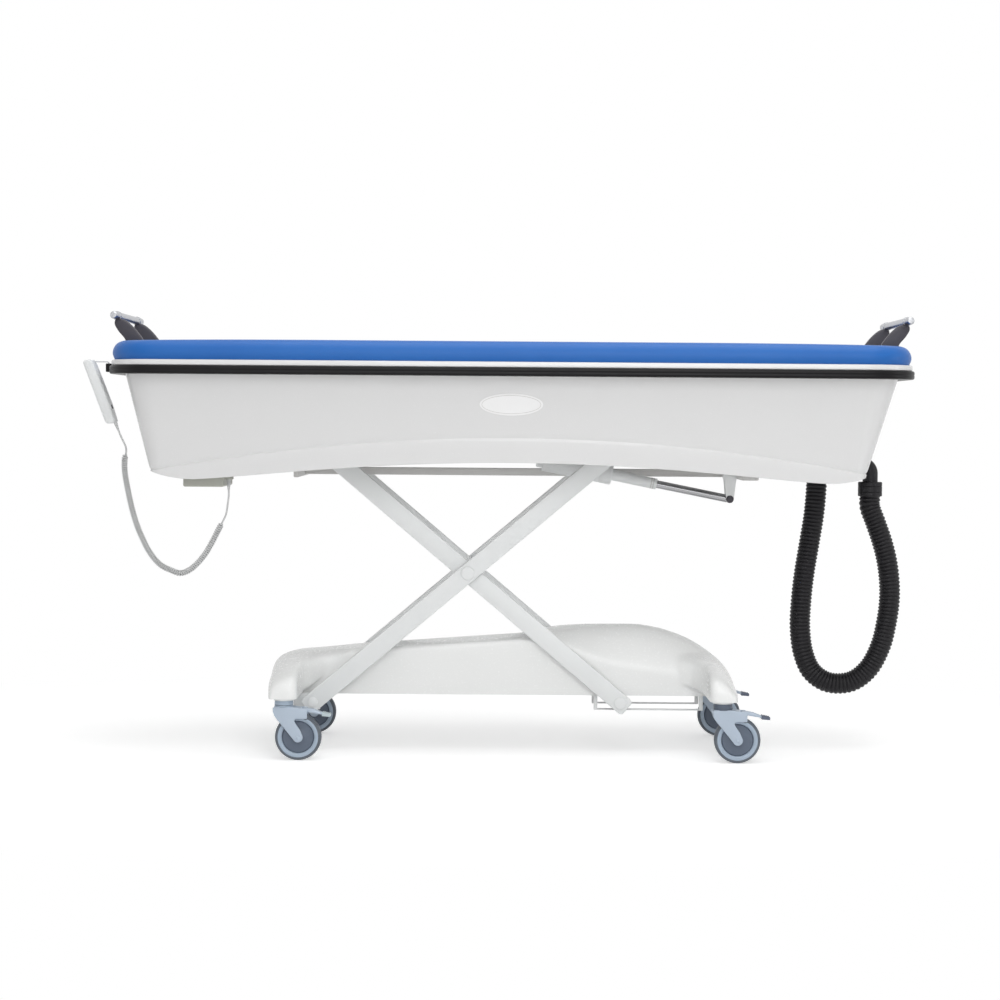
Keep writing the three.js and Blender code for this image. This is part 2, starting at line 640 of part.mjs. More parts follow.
const eye_long = trunnion_radius + eye_slack_along;
const eye_high = trunnion_radius + eye_slack_across;
const motor_start = eye_x - motor_before_eye;
const motor_end = eye_x + motor_after_eye;
const eye_lug = block(eye_x - eye_long - eye_wall, eye_x + eye_long + eye_wall, -eye_half, eye_half,
  -eye_offset - eye_high - eye_wall, 0);
const actuator_barrel = cut(
  join(alongRam(sleeve_radius, barrel_start, motor_start + overrun),
    alongRam(motor_radius, motor_start, motor_end, 20),
    alongRam(end_cap_radius, motor_end - overrun, motor_end + end_cap_length), eye_lug),
  alongRam(ram_rod_radius + running, barrel_start - overrun, sleeve_end),
  alongRam(ram_screw_radius + running, barrel_start, screw_bore_end, 12),
  block(eye_x - eye_long, eye_x + eye_long, -motor_radius - overrun, motor_radius + overrun,
    -eye_offset - eye_high, -eye_offset + eye_high),
);
piece("actuator_barrel", "control_grey", actuator_barrel, ram);

function cheek(y0, y1) {
  const shape = new THREE.Shape();
  shape.moveTo(bracket_left, bracket_top);
  shape.lineTo(ram_pin_x - ram_cap_radius, ram_pin_z);
  shape.absarc(ram_pin_x, ram_pin_z, ram_cap_radius, Math.PI, Math.PI * 2, false);
  shape.lineTo(right_beam_x - gap, beam_bottom);
  shape.lineTo(right_beam_x - gap, bracket_top);
  return sidePlate(shape, y0, y1, 4);
}
const actuator_bracket = join(
  block(bracket_left, right_beam_x - gap, -cheek_outer_y, cheek_outer_y, beam_bottom, bracket_top),
  cheek(-cheek_outer_y, -cheek_inner_y),
  cheek(cheek_inner_y, cheek_outer_y),
  across(ram_pin_radius, point(ram_pin_x, 0, ram_pin_z), cheek_outer_y, 12),
  ...Object.values(sides).map((s) => rod(ram_cap_radius,
    point(ram_pin_x, s * (cheek_outer_y - gap), ram_pin_z),
    point(ram_pin_x, s * (cheek_outer_y + ram_cap_thick), ram_pin_z), 16)),
);
piece("actuator_bracket", "arm_white", actuator_bracket, platform);

// Tub: rounded outlines at three heights, joined by straight sloping walls over an arched lower edge
const flange_top = 1070;
const flange_bottom = 1055.3;
const flange_outset = 6; // the flange's edge, in from the bumper's face
const flange_inset = 62;
const wall_side_inset = 37; // the shell's wall under the flange, in from the bumper's face
const wall_end_inset = 37;
const wall_side_slant = 60; // how far it draws in towards the foot
const wall_left_slant = 70;
const wall_right_slant = 86;
const wall_foot = 781;
const shell_wall = 4;
const arch_end_z = 753;
const arch_rise = 50;
const tub_half_x = tub_length / 2;
const tub_half_y = tub_width / 2;
const tub_end = tub_centre_x + tub_half_x;
const tub_start = tub_centre_x - tub_half_x;
const arch_inset = 225; // from each end of the bumper
const arch_half = tub_half_x - arch_inset;
const arch_end_lift = 18;
const crease_middle_z = 869;
const crease_drop = 88;
const crease_inset = 135;
const crease_half = tub_half_x - crease_inset;
const band_steepness = 0.5; // the band under the crease slopes half as much as the wall
const drain_inset = 146; // from the drain end of the bumper
const drain_x = tub_end - drain_inset;
const deck_hole_radius = 20;
const outlet_z = 800;
const outlet_hole_radius = 23;
const corner_steps = 4;
const side_steps = 10;
const deck_top = deck_bottom + deck_thick;

// A rounded rectangle about the tub's middle, drawn in from the bumper's face by the given insets.
function tubOutline({ left, right, side }, side_count = side_steps, end_count = 1) {
  const x0 = tub_centre_x - tub_half_x + left;
  const x1 = tub_centre_x + tub_half_x - right;
  const y1 = tub_half_y - side;
  const radius = Math.max(tub_corner - side, tub_corner / 5);
  const points = [];
  const line = (ax, ay, bx, by, count) => {
    for (let i = 1; i < count; i++) {
      points.push({ x: THREE.MathUtils.lerp(ax, bx, i / count), y: THREE.MathUtils.lerp(ay, by, i / count) });
    }
  };
  const arc = (cx, cy, start) => {
    for (let i = 0; i <= corner_steps; i++) {
      const turn = start + (Math.PI / 2) * (i / corner_steps);
      points.push({ x: cx + radius * Math.cos(turn), y: cy + radius * Math.sin(turn) });
    }
  };
  arc(x1 - radius, y1 - radius, 0);
  line(x1 - radius, y1, x0 + radius, y1, side_count);
  arc(x0 + radius, y1 - radius, Math.PI / 2);
  line(x0, y1 - radius, x0, -y1 + radius, end_count);
  arc(x0 + radius, -y1 + radius, Math.PI);
  line(x0 + radius, -y1, x1 - radius, -y1, side_count);
  arc(x1 - radius, -y1 + radius, Math.PI * 1.5);
  line(x1, -y1 + radius, x1, y1 - radius, end_count);
  return points;
}
function archEdge(x) {
  const u = Math.abs((x - tub_centre_x) / arch_half);
  if (u < 1) return arch_end_z + arch_rise * (1 - u * u) ** 1.3;
  return arch_end_z + arch_end_lift * ((u - 1) * 8) ** 2;
}
function creaseHeight(x) {
  return crease_middle_z - crease_drop * ((x - tub_centre_x) / crease_half) ** 2;
}
// The wall's own surface: a point of each outline, at any height.
function wallSurface(inset) {
  const head = tubOutline({ left: wall_end_inset + inset, right: wall_end_inset + inset,
    side: wall_side_inset + inset });
  const foot = tubOutline({ left: wall_end_inset + wall_left_slant + inset,
    right: wall_end_inset + wall_right_slant + inset, side: wall_side_inset + wall_side_slant + inset });
  return (i, z) => {
    const share = (flange_bottom - z) / (flange_bottom - wall_foot);
    return point(THREE.MathUtils.lerp(head[i].x, foot[i].x, share),
      THREE.MathUtils.lerp(head[i].y, foot[i].y, share), z);
  };
}
const outline_count = tubOutline({ left: 0, right: 0, side: 0 }).length;
const outer_wall = wallSurface(0);
const inner_wall = wallSurface(shell_wall);
function wallRing(surface, height) {
  return Array.from({ length: outline_count }, (_, i) => {
    if (typeof height === "number") return surface(i, height);
    return surface(i, height(surface(i, wall_foot).x));
  });
}
function bandRing(surface) {
  return Array.from({ length: outline_count }, (_, i) => {
    const x = surface(i, wall_foot).x;
    const [crease, edge] = [creaseHeight(x), Math.min(archEdge(x), creaseHeight(x) - gap)];
    const place = surface(i, crease - (crease - edge) * band_steepness);
    return point(place.x, place.y, edge);
  });
}
function flatRing(insets, z) {
  return tubOutline(insets).map(({ x, y }) => point(x, y, z));
}
const even = (inset) => ({ left: inset, right: inset, side: inset });
const shell_rings = [
  wallRing(inner_wall, deck_bottom),
  wallRing(inner_wall, creaseHeight),
  bandRing(inner_wall),
  bandRing(outer_wall),
  wallRing(outer_wall, creaseHeight),
  wallRing(outer_wall, flange_bottom),
  flatRing(even(flange_outset), flange_bottom),
  flatRing(even(flange_outset), flange_top),
  flatRing(even(flange_inset), flange_top),
  wallRing(inner_wall, deck_top),
];
const upright = (radius, x, z0, z1, round = 16) => rod(radius, point(x, 0, z0), point(x, 0, z1), round);
const shell = cut(
  loft(shell_rings),
  upright(deck_hole_radius, drain_x, deck_bottom - overrun, deck_top + overrun),
  rod(outlet_hole_radius, point(drain_x, 0, outlet_z), point(tub_end, 0, outlet_z), 16),
);
piece("tub_shell", "gloss_white", shell, platform);

// Bumper strip round the rim, under the flange
const bumper_bottom = 1032;
const bumper_depth = 36.5;
const bumper_bevel = 4;
const bumper_top = flange_bottom - gap;
const bumper_rings = [
  [bumper_depth, bumper_bottom], [bumper_bevel, bumper_bottom], [0, bumper_bottom + bumper_bevel],
  [0, bumper_top - bumper_bevel], [bumper_bevel, bumper_top], [bumper_depth, bumper_top],
].map(([inset, z]) => tubOutline(even(inset), 1).map(({ x, y }) => point(x, y, z)));
piece("rim_bumper", "bumper_black", loft(bumper_rings, { cyclic: true }), platform);

// Liner: a padded roll on the rim, drawn in down the walls to a crowned lying surface
const roll_outset = 9;
const roll_width = 74;
const roll_height = 50;
const liner_clear = 1; // from the shell
const wall_pad = 30;
const lying_height = 31; // over the deck
const lying_crown = 5;
const lying_edge = 34; // the curve from wall to lying surface
const liner_drain_radius = 16;
const post_clear = 3; // round each handle's foot
const pad_base = deck_top + gap;
const roll_base = flange_top + gap;
const roll_shares = [ // across the roll and up it
  [0.08, 0], [0, 0.3], [0.04, 0.62], [0.18, 0.88], [0.4, 1], [0.64, 0.99], [0.86, 0.84], [0.98, 0.55], [1, 0.2],
];
const lying_shares = [ // in from the walls, and up the crown
  [0.5, 0.8], [1, 1],
];
const lying_reach = 200;
function linerRings() {
  const lying_z = pad_base + lying_height;
  const padded = shell_wall + wall_pad;
  return [
    wallRing(wallSurface(shell_wall + liner_clear), pad_base),
    flatRing(even(flange_inset + liner_clear), roll_base),
    ...roll_shares.map(([across_share, up]) =>
      flatRing(even(roll_outset + roll_width * across_share), roll_base + roll_height * up)),
    wallRing(wallSurface(padded), lying_z + lying_edge * 2),
    wallRing(wallSurface(padded + lying_edge * 0.1), lying_z + lying_edge * 0.7),
    wallRing(wallSurface(padded + lying_edge * 0.4), lying_z + lying_edge * 0.2),
    wallRing(wallSurface(padded + lying_edge), lying_z),
    ...lying_shares.map(([inward, up]) =>
      wallRing(wallSurface(padded + lying_edge + lying_reach * inward), lying_z + lying_crown * up)),
  ];
}

// Push handles: two curved arms and a bar across them at each end of the rim
const handle_y = 160;
const handle_thick = 24;
const handle_inset = 73; // from the bumper's face to the post's inner side
const handle_reach = 77; // from there out to the tip
const handle_rise = 112;
const handle_lean_share = 0.63; // how far out it leans within the roll
const handle_shares = [ // outwards from the post's inner side, and up
  [0.15, 0], [0.04, 0.28], [0, 0.49], [0.17, 0.68], [0.45, 0.89], [0.68, 1], [0.97, 1.02], [1, 0.87], [0.87, 0.725],
  [0.62, 0.505], [0.56, 0.27], [0.56, 0],
];
const bar_radius = 9.5;
const bar_along_share = 0.909; // of the handle's reach
const bar_rise = 121.6; // its middle, over the handle's foot
const bar_past = 50; // past the outer faces of the arms
const handle_base = flange_top + gap;
const barPlace = (end) => point(
  tub_centre_x + end * (tub_half_x - handle_inset + handle_reach * bar_along_share), 0, handle_base + bar_rise);
for (const [end_name, end] of Object.entries(ends)) {
  const post_x = tub_centre_x + end * (tub_half_x - handle_inset);
  const bar = across(bar_radius, barPlace(end), handle_y + handle_thick / 2 + bar_past, 14);
  const seat = across(bar_radius + gap, barPlace(end), tub_half_y, 14);
  for (const [side_name, s] of Object.entries(sides)) {
    const shape = outline(handle_shares.map(([out, up]) =>
      [post_x + end * handle_reach * out, handle_base + handle_rise * up]));
    const arm = sidePlate(shape, s * handle_y - handle_thick / 2, s * handle_y + handle_thick / 2);
    piece(side_name + "_" + end_name + "_handle", "handle_grey", cut(arm, seat), platform);
  }
  piece(end_name + "_handle_bar", "bar_silver", bar, platform);
}
const notches = Object.values(ends).flatMap((end) => Object.values(sides).map((s) => {
  const inner = tub_centre_x + end * (tub_half_x - handle_inset - post_clear);
  const outer = inner + end * (handle_reach * handle_lean_share + post_clear * 2);
  const y = s * handle_y;
  return block(Math.min(inner, outer), Math.max(inner, outer), y - handle_thick / 2 - post_clear,
    y + handle_thick / 2 + post_clear, flange_top - overrun, flange_top + roll_height + overrun);
}));
const liner = cut(loft(linerRings()), ...notches,
  upright(liner_drain_radius, drain_x, deck_bottom, pad_base + lying_height + lying_crown * 2));
piece("tub_liner", "pad_blue", liner, platform);

// Drain: an elbow out through the end wall, a cuff, and the hose's holder under the deck
const elbow_radius = 21;
const elbow_wall = 3;
const elbow_bend = 24;
const outlet_inset = 71; // from the drain end of the bumper
const outlet_x = tub_end - outlet_inset;
const hose_top = 739.7;
const union_radius = 35;
const union_thick = 6;
const cuff_radius = 33.5;
const cuff_bottom = 712;
const cuff_top = 752;
const hose_radius = 28;
const hose_bore = 22;
const hose_end_inset = 221;
const hose_end_x = tub_end - hose_end_inset;
const hose_end_z = 860;
const holder_disc_radius = 30;
const holder_disc_thick = 6;
const holder_plug_radius = 19;
const holder_plug_length = 40;
const holder_stem_radius = 12;
const holder_flange_radius = 25;
const bend_steps = 3;

// A tube of flat-sided section along a path in the plane y = 0, its path given as x and z.
function elbowTube(radius, past, sides_count = 10) {
  const from = point(drain_x, 0, deck_seat + past);
  const down = point(drain_x, 0, outlet_z + elbow_bend);
  const out = point(outlet_x - elbow_bend, 0, outlet_z);
  const path = [from];
  for (let i = 0; i <= bend_steps; i++) {
    const turn = (Math.PI / 2) * (i / bend_steps);
    path.push(point(down.x + elbow_bend * (1 - Math.cos(turn)), 0, down.z - elbow_bend * Math.sin(turn)));
  }
  for (let i = 0; i <= bend_steps; i++) {
    const turn = (Math.PI / 2) * (i / bend_steps);
    path.push(point(out.x + elbow_bend * Math.sin(turn), 0, out.z - elbow_bend * (1 - Math.cos(turn))));
  }
  path.push(point(outlet_x, 0, hose_top + gap * 2 - past));
  return sweep(path, () => radius, sides_count);
}
// Rings square to a path, turned as little as possible from one to the next.
function ringsAlong(path, radiusAt, count) {
  const rings = [];
  let side = null;
  path.forEach((place, i) => {
    const before = path[Math.max(i - 1, 0)];
    const after = path[Math.min(i + 1, path.length - 1)];
    const heading = after.clone().sub(before).normalize();
    if (!side) side = Math.abs(heading.y) < 0.9 ? point(0, 1, 0) : point(1, 0, 0);
    side.addScaledVector(heading, -side.dot(heading)).normalize();
    const other = heading.clone().cross(side);
    const ring = Array.from({ length: count }, (_, k) => {
      const turn = (Math.PI * 2 * k) / count;
      return place.clone()
        .addScaledVector(side, radiusAt(i) * Math.cos(turn))
        .addScaledVector(other, radiusAt(i) * Math.sin(turn));
    });
    rings.push(ring);
  });
  return rings;
}
function sweep(path, radiusAt, count) {
  return loft(ringsAlong(path, radiusAt, count));
}
const elbow = cut(
  join(elbowTube(elbow_radius, 0), upright(union_radius, drain_x, deck_seat - union_thick, deck_seat)),
  elbowTube(elbow_radius - elbow_wall, overrun),
);
piece("drain_elbow", "hose_black", elbow, platform);

const cuff_points = [
  [elbow_radius + running, cuff_top], [cuff_radius, cuff_top], [cuff_radius, cuff_bottom],
  [hose_radius + running, cuff_bottom], [hose_radius + running, hose_top + gap],
  [elbow_radius + running, hose_top + gap], [elbow_radius + running, cuff_top],
].map(([r, z]) => new THREE.Vector2(r, z));
const cuff = outward(new THREE.LatheGeometry(cuff_points, 20).rotateX(Math.PI / 2)).translate(outlet_x, 0, 0);
piece("hose_cuff", "hose_black", cuff, platform);

const holder = join(
  upright(holder_plug_radius, hose_end_x, hose_end_z - holder_plug_length, hose_end_z + overrun, 12),
  upright(holder_disc_radius, hose_end_x, hose_end_z + gap, hose_end_z + holder_disc_thick),
  upright(holder_stem_radius, hose_end_x, hose_end_z + gap, deck_seat, 12),
  upright(holder_flange_radius, hose_end_x, deck_seat - union_thick / 2, deck_seat),
);
piece("hose_holder", "hose_black", holder, platform);

// Drain hose: ribbed outside, smooth in its bore, hanging in one loop from the cuff to its holder
const hose_ribs = 65;
const hose_groove = 3;
const hose_route = [
  [1020, 739.7], [1020, 712], [1020, 684], [1036, 640], [1054, 590], [1068, 539], [1077, 478], [1078, 416],
  [1070, 354], [1055, 292], [1023, 230], [981, 195], [939, 186], [899, 193], [862, 221], [839, 271], [829, 341],
  [831, 414], [839, 496], [852, 580], [864, 661], [870, 742], [870, 790], [870, 825], [870, 860],
].map(([x, z]) => point(x, 0, z));
function ribbedHose() {
  const curve = new THREE.CatmullRomCurve3(hose_route, false, "centripetal");
  const steps = hose_ribs * 2;
  curve.arcLengthDivisions = steps * 10;
  const path = curve.getSpacedPoints(steps);
  const outer = ringsAlong(path, (i) => (i % 2 && i > 3 && i < steps - 3 ? hose_radius - hose_groove : hose_radius), 8);
  const every = 10; // a ring of the bore for each five ribs
  const inner = ringsAlong(path, () => hose_bore, 8).filter((_, i) => i % every === 0);
  return { rings: [...outer, ...inner.reverse()], length: curve.getLength() };
}
const hose = ribbedHose();
piece("drain_hose", "hose_black", loft(hose.rings, { cyclic: true }), platform);

// Control box under the head end, with the gland that the hand control's lead enters
const box_inset = 195; // from the head end of the bumper
const box_length = 108;
const box_left = tub_start + box_inset;
const box_right = box_left + box_length;
const box_near = -250;
const box_far = -50;
const box_bottom = 732;
const box_corner = 12;
const shelf_length = 24;
const shelf_bottom = 752;
const shelf_thick = 8;
const control_y = -230;
const shelf_half = 10;
const gland_radius = 6;
const gland_tip_radius = 2.8;
const gland_length = 28;
const lead_radius = 2.5;
const gland_x = box_right + shelf_length / 2;
function softBlock(x0, x1, y0, y1, z0, z1, corner) {
  const shape = outline([[x0 + corner, z0], [x1 - corner, z0], [x1, z0 + corner], [x1, z1], [x0, z1],
    [x0, z0 + corner]]);
  return sidePlate(shape, y0, y1);
}
const control_box = join(
  softBlock(box_left, box_right, box_near, box_far, box_bottom, deck_seat, box_corner),
  block(box_right - overrun, box_right + shelf_length, control_y - shelf_half, control_y + shelf_half,
    shelf_bottom, shelf_bottom + shelf_thick),
);
piece("control_box", "slab_olive", control_box, platform);
const gland_top = shelf_bottom - gap;
piece("cord_gland", "cord_grey", rod(gland_radius, point(gland_x, control_y, gland_top),
  point(gland_x, control_y, gland_top - gland_length), 12, gland_tip_radius), platform);

// Hand control hanging outside the head end, tilted, with two buttons on its outer face
const handset_half = 30;
const handset_tilt = THREE.MathUtils.degToRad(20.7);
const handset_length = 185;
const handset_depth = 31;
const handset_reach = 75; // past the head end of the bumper
const handset_top_x = tub_start - handset_reach;
const handset_top_z = 1067;
const handset_shares = [ // across its depth and down its length
  [0, 0.04], [0.1, 0], [0.8, 0.03], [0.86, 0.1], [1, 0.72], [0.86, 0.94], [0.86, 1], [0.5, 1], [0, 0.92],
];
const button_shares = { up: 0.3, down: 0.48 }; // down the handset
const button_half = 9;
const button_proud = 2.2;
const button_sunk = 1.5;
const button_pocket = 4;
const hand_control = new THREE.Group(); // +X into the handset from its outer face, +Z down along it
hand_control.position.set(handset_top_x, control_y, handset_top_z);
hand_control.rotation.set(0, -handset_tilt, 0);
platform.add(hand_control);
const handset_shape = outline(handset_shares.map(([deep, down]) => [handset_depth * deep, -handset_length * down]));
const pockets = Object.values(button_shares).map((down) =>
  block(-overrun, button_pocket, -button_half - gap, button_half + gap,
    -handset_length * down - button_half - gap, -handset_length * down + button_half + gap));
piece("handset", "control_grey", cut(sidePlate(handset_shape, -handset_half, handset_half), ...pockets),
  hand_control);
for (const [name, down] of Object.entries(button_shares)) {
  const z = -handset_length * down;
  piece(name + "_button", "button_grey", block(-button_proud, button_sunk, -button_half, button_half,
    z - button_half, z + button_half), hand_control);
}

// Hook on the bumper that the hand control hangs on
const hook_block = 15;
const hook_height = 23;
const hook_half = 9;
const hook_wire = 1.5;
const bumper_middle = (bumper_bottom + bumper_top) / 2;
const hook_x = tub_start - gap;
const hook_rise = 6; // over the bumper's middle
const hook_top = bumper_middle + hook_rise + hook_height / 2;
const hook_hold = 12; // down the handset's back
const handset_back = handsetPoint(handset_depth * 0.87 + gap, hook_hold);
function handsetPoint(deep, down) {
  const turn = new THREE.Euler(0, -handset_tilt, 0);
  return point(deep, 0, -down).applyEuler(turn).add(hand_control.position);
}
const hook_bend = point(hook_x - hook_block, control_y, hook_top + hook_wire * 3);
const hook = join(
  block(hook_x - hook_block, hook_x, control_y - hook_half, control_y + hook_half, hook_top - hook_height,
    hook_top),
  rod(hook_wire, point(hook_x - hook_block / 2, control_y, hook_top - overrun), hook_bend, 8),
  rod(hook_wire, hook_bend.clone().setX(hook_bend.x + hook_wire), handset_back, 8),
);
piece("handset_hook", "bumper_black", hook, platform);

// Cord of the hand control: a thin lead, a curly run, and a thin lead up to the gland
const lead_depth_share = 0.68; // where it leaves the handset's flat end
const curl_shares = { start: 0.122, end: 0.873 }; // of the cord's route
const curls = 37;
const curl_steps = 8;
const curl_outer_radius = 8.5;
const cord_route = [
  [-1044.5, 889.9], [-1033, 862], [-1022, 839], [-1020, 824], [-1024, 806], [-1024, 772], [-1016, 724],
  [-1005, 674], [-992, 630], [-975, 589], [-954, 550], [-927, 520], [-899, 506], [-874, 498], [-849, 507],
  [-827, 526], [-806, 552], [-787, 585], [-772, 615], [-760, 638], [-751, 658], [-747, 682], [-744, 706],
].map(([x, z]) => point(x, control_y, z));
const cord_start = handsetPoint(handset_depth * lead_depth_share, handset_length + gap);
const cord_end = point(gland_x, control_y, gland_top - gland_length - gap);
const cord = new THREE.CatmullRomCurve3([cord_start, ...cord_route, cord_end], false, "centripetal");
cord.arcLengthDivisions = curls * curl_steps * 4;
const cord_length = cord.getLength();
function leadPath(from, to, steps) {
  return Array.from({ length: steps + 1 }, (_, i) => cord.getPointAt(from + ((to - from) * i) / steps));
}
function curlPath() {
  const end_run = (lead_radius * 2) / cord_length;
  const from = curl_shares.start + end_run;
  const to = curl_shares.end - end_run;
  const count = curls * curl_steps;
  const axis = leadPath(from, to, count);
  const spoke = ringsAlong(axis, () => 1, curl_steps);
  const coil = axis.map((middle, i) => {
    const run_in = Math.min(i, count - i, curl_steps) / curl_steps; // the coil widens over its first turn
    const reach = (curl_outer_radius - lead_radius) * Math.sin((Math.PI / 2) * run_in);
    return middle.clone().addScaledVector(spoke[i][i % curl_steps].clone().sub(middle), reach);
  });
  return [cord.getPointAt(curl_shares.start), ...coil, cord.getPointAt(curl_shares.end)];
}
const seam = gap / cord_length;
piece("handset_lead", "cord_grey", sweep(leadPath(0, curl_shares.start - seam, 8), () => lead_radius, 8), platform);
const coil_path = curlPath();
piece("curly_cord", "cord_grey", sweep(coil_path, () => lead_radius, 5), platform);
piece("gland_lead", "cord_grey", sweep(leadPath(curl_shares.end + seam, 1, 9), () => lead_radius, 8), platform);
let least_gap = Infinity;
coil_path.forEach((place, i) => coil_path.slice(i + curl_steps - 2).forEach((other) => {
  least_gap = Math.min(least_gap, place.distanceTo(other) - lead_radius * 2);
}));
console.log("least gap of the curly cord to itself: " + least_gap.toFixed(2) + " mm");

// The trolley stands on z = 0, its origin under the middle of all but its cord and hose.
const loose = ["handset_lead", "curly_cord", "gland_lead", "drain_hose"];
trolley.updateMatrixWorld(true);
const extent = new THREE.Box3();
trolley.traverse((node) => {
  if (node.isMesh && !loose.includes(node.name)) extent.expandByObject(node, true);
});
trolley.position.x = -(extent.min.x + extent.max.x) / 2;

export default trolley;
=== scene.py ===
import math

import bpy
from mathutils import Matrix, Vector


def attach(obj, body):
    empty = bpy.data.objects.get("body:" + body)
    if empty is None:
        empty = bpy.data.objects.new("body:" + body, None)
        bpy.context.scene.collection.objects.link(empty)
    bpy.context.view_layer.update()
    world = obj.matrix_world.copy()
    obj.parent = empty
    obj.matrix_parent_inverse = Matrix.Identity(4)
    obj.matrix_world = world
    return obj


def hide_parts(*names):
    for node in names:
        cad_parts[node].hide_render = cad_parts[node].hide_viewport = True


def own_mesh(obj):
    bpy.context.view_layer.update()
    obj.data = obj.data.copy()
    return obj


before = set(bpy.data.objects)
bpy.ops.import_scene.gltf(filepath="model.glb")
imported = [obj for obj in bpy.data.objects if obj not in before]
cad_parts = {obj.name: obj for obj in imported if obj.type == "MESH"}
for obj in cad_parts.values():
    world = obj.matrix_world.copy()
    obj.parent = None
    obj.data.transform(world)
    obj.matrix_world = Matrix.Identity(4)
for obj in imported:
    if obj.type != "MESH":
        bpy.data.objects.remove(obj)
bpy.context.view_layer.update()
bpy.ops.object.select_all(action="DESELECT")

MM = 0.001
SHIFT = 16.9456  # the base's middle, along X, in the frame
GAP = 0.3  # left between seated pieces
SIDES = (("near", -1), ("far", 1))
ENDS = (("left", -1), ("right", 1))
ACROSS = Vector((0, 1, 0))
UPWARD = Vector((0, 0, 1))


def at(x, y, z):
    """A place given in millimetres from the base's middle."""
    return Vector(((x + SHIFT) * MM, y * MM, z * MM))


def side_view(places):
    """The x and z of places, in millimetres from the base's middle."""
    return [(place.x / MM - SHIFT, place.z / MM) for place in places]


def clamped(value):
    """The value, kept between 0 and 1."""
    return min(max(value, 0), 1)


# Selecting and settling

def pick(piece):
    bpy.ops.object.select_all(action="DESELECT")
    piece.select_set(True)
    bpy.context.view_layer.objects.active = piece


def edit(piece):
    pick(piece)
    bpy.ops.object.mode_set(mode="EDIT")
    bpy.ops.mesh.select_all(action="SELECT")


def leave():
    bpy.ops.object.mode_set(mode="OBJECT")


def settle(piece):
    """The piece's place goes into its mesh."""
    pick(piece)
    bpy.ops.object.transform_apply(location=True, rotation=True, scale=True)
    return piece


def apply_all(piece):
    pick(piece)
    for modifier in list(piece.modifiers):
        bpy.ops.object.modifier_apply(modifier=modifier.name)
    return piece


def modified(piece, kind, **settings):
    """Adds one modifier with its settings, and applies it."""
    modifier = piece.modifiers.new(kind.lower(), kind)
    for name, value in settings.items():
        setattr(modifier, name, value)
    return apply_all(piece)


def smooth(piece, degrees=32):
    """Shades the piece smooth, but for edges sharper than the angle."""
    pick(piece)
    bpy.ops.object.shade_smooth_by_angle(angle=math.radians(degrees))
    return piece


def rounded(piece, width=0.0, segments=2, angle=35):
    """Rounds the piece's edges and shades it smooth between them."""
    if width:
        modified(piece, "BEVEL", width=width * MM, segments=segments, limit_method="ANGLE",
                 angle_limit=math.radians(angle), harden_normals=False)
    return smooth(piece)


def whole(piece):
    """Doubles merged, all faces pointing out."""
    edit(piece)
    bpy.ops.mesh.remove_doubles(threshold=1e-5)
    bpy.ops.mesh.normals_make_consistent(inside=False)
    leave()
    return piece


# Shapes

def mesh_piece(name, corners, faces):
    mesh = bpy.data.meshes.new(name)
    mesh.from_pydata([tuple(c) for c in corners], [], faces)
    piece = bpy.data.objects.new(name, mesh)
    bpy.context.scene.collection.objects.link(piece)
    return piece


def plate(name, outline, ys, bevel=0.0, segments=2, angle=35):
    """A side-view outline of x and z, drawn across between two places, its edges rounded."""
    low, high = min(ys), max(ys)
    piece = mesh_piece(name, [at(x, low, z) for x, z in outline], [list(range(len(outline)))])
    edit(piece)
    bpy.ops.mesh.extrude_region_move(TRANSFORM_OT_translate={"value": (0, (high - low) * MM, 0)})
    leave()
    return rounded(whole(piece), bevel, segments, angle)


def mirrored(half, middle=(), closed=False):
    """A profile given from one end to its middle, and on to the other end."""
    full = [(r, -a) for r, a in half] + list(middle) + [(r, a) for r, a in reversed(half)]
    return full + full[:1] if closed else full


def lathe(name, profile, centre, steps, axis=ACROSS):
    """A profile of radius and place along the axis, spun round the axis through centre."""
    points = [centre + (Vector((radius, 0, 0)) + axis * along) * MM for radius, along in profile]
    piece = mesh_piece(name, points, [])
    piece.data.edges.add(len(points) - 1)
    for i, edge in enumerate(piece.data.edges):
        edge.vertices = (i, i + 1)
    edit(piece)
    bpy.ops.mesh.spin(steps=steps, angle=math.tau, center=centre, axis=axis)
    leave()
    return smooth(whole(piece))


def turned_rod(name, radius, start, end, sides=32, bevel=0.0):
    """A round bar from start to end."""
    line = end - start
    bpy.ops.mesh.primitive_cylinder_add(vertices=sides, radius=radius * MM, depth=line.length,
                                        location=(start + end) / 2,
                                        rotation=line.to_track_quat("Z", "Y").to_euler())
    piece = bpy.context.active_object
    piece.name = piece.data.name = name
    return rounded(settle(piece), bevel)


def cross_rod(name, radius, spot, ys, sides=32, bevel=0.0):
    """A round bar across the trolley, through a side-view spot of x and z."""
    start, end = (at(spot[0], y, spot[1]) for y in ys)
    return turned_rod(name, radius, start, end, sides, bevel)


def upright_rod(name, radius, x, y, zs, sides=32, bevel=0.0):
    start, end = (at(x, y, z) for z in zs)
    return turned_rod(name, radius, start, end, sides, bevel)


def brick(name, xs, ys, zs, bevel=1.0, segments=2):
    """A bar between two places along each axis, its edges rounded."""
    low = at(min(xs), min(ys), min(zs))
    high = at(max(xs), max(ys), max(zs))
    bpy.ops.mesh.primitive_cube_add(size=1, location=(low + high) / 2)
    piece = bpy.context.active_object
    piece.name = piece.data.name = name
    piece.scale = high - low
    return rounded(settle(piece), bevel, segments)


def combined(name, *pieces):
    """Several pieces as one object, their skins left as they are."""
    bpy.ops.object.select_all(action="DESELECT")
    for piece in pieces:
        piece.select_set(True)
    bpy.context.view_layer.objects.active = pieces[0]
    bpy.ops.object.join()
    pieces[0].name = pieces[0].data.name = name
    return pieces[0]


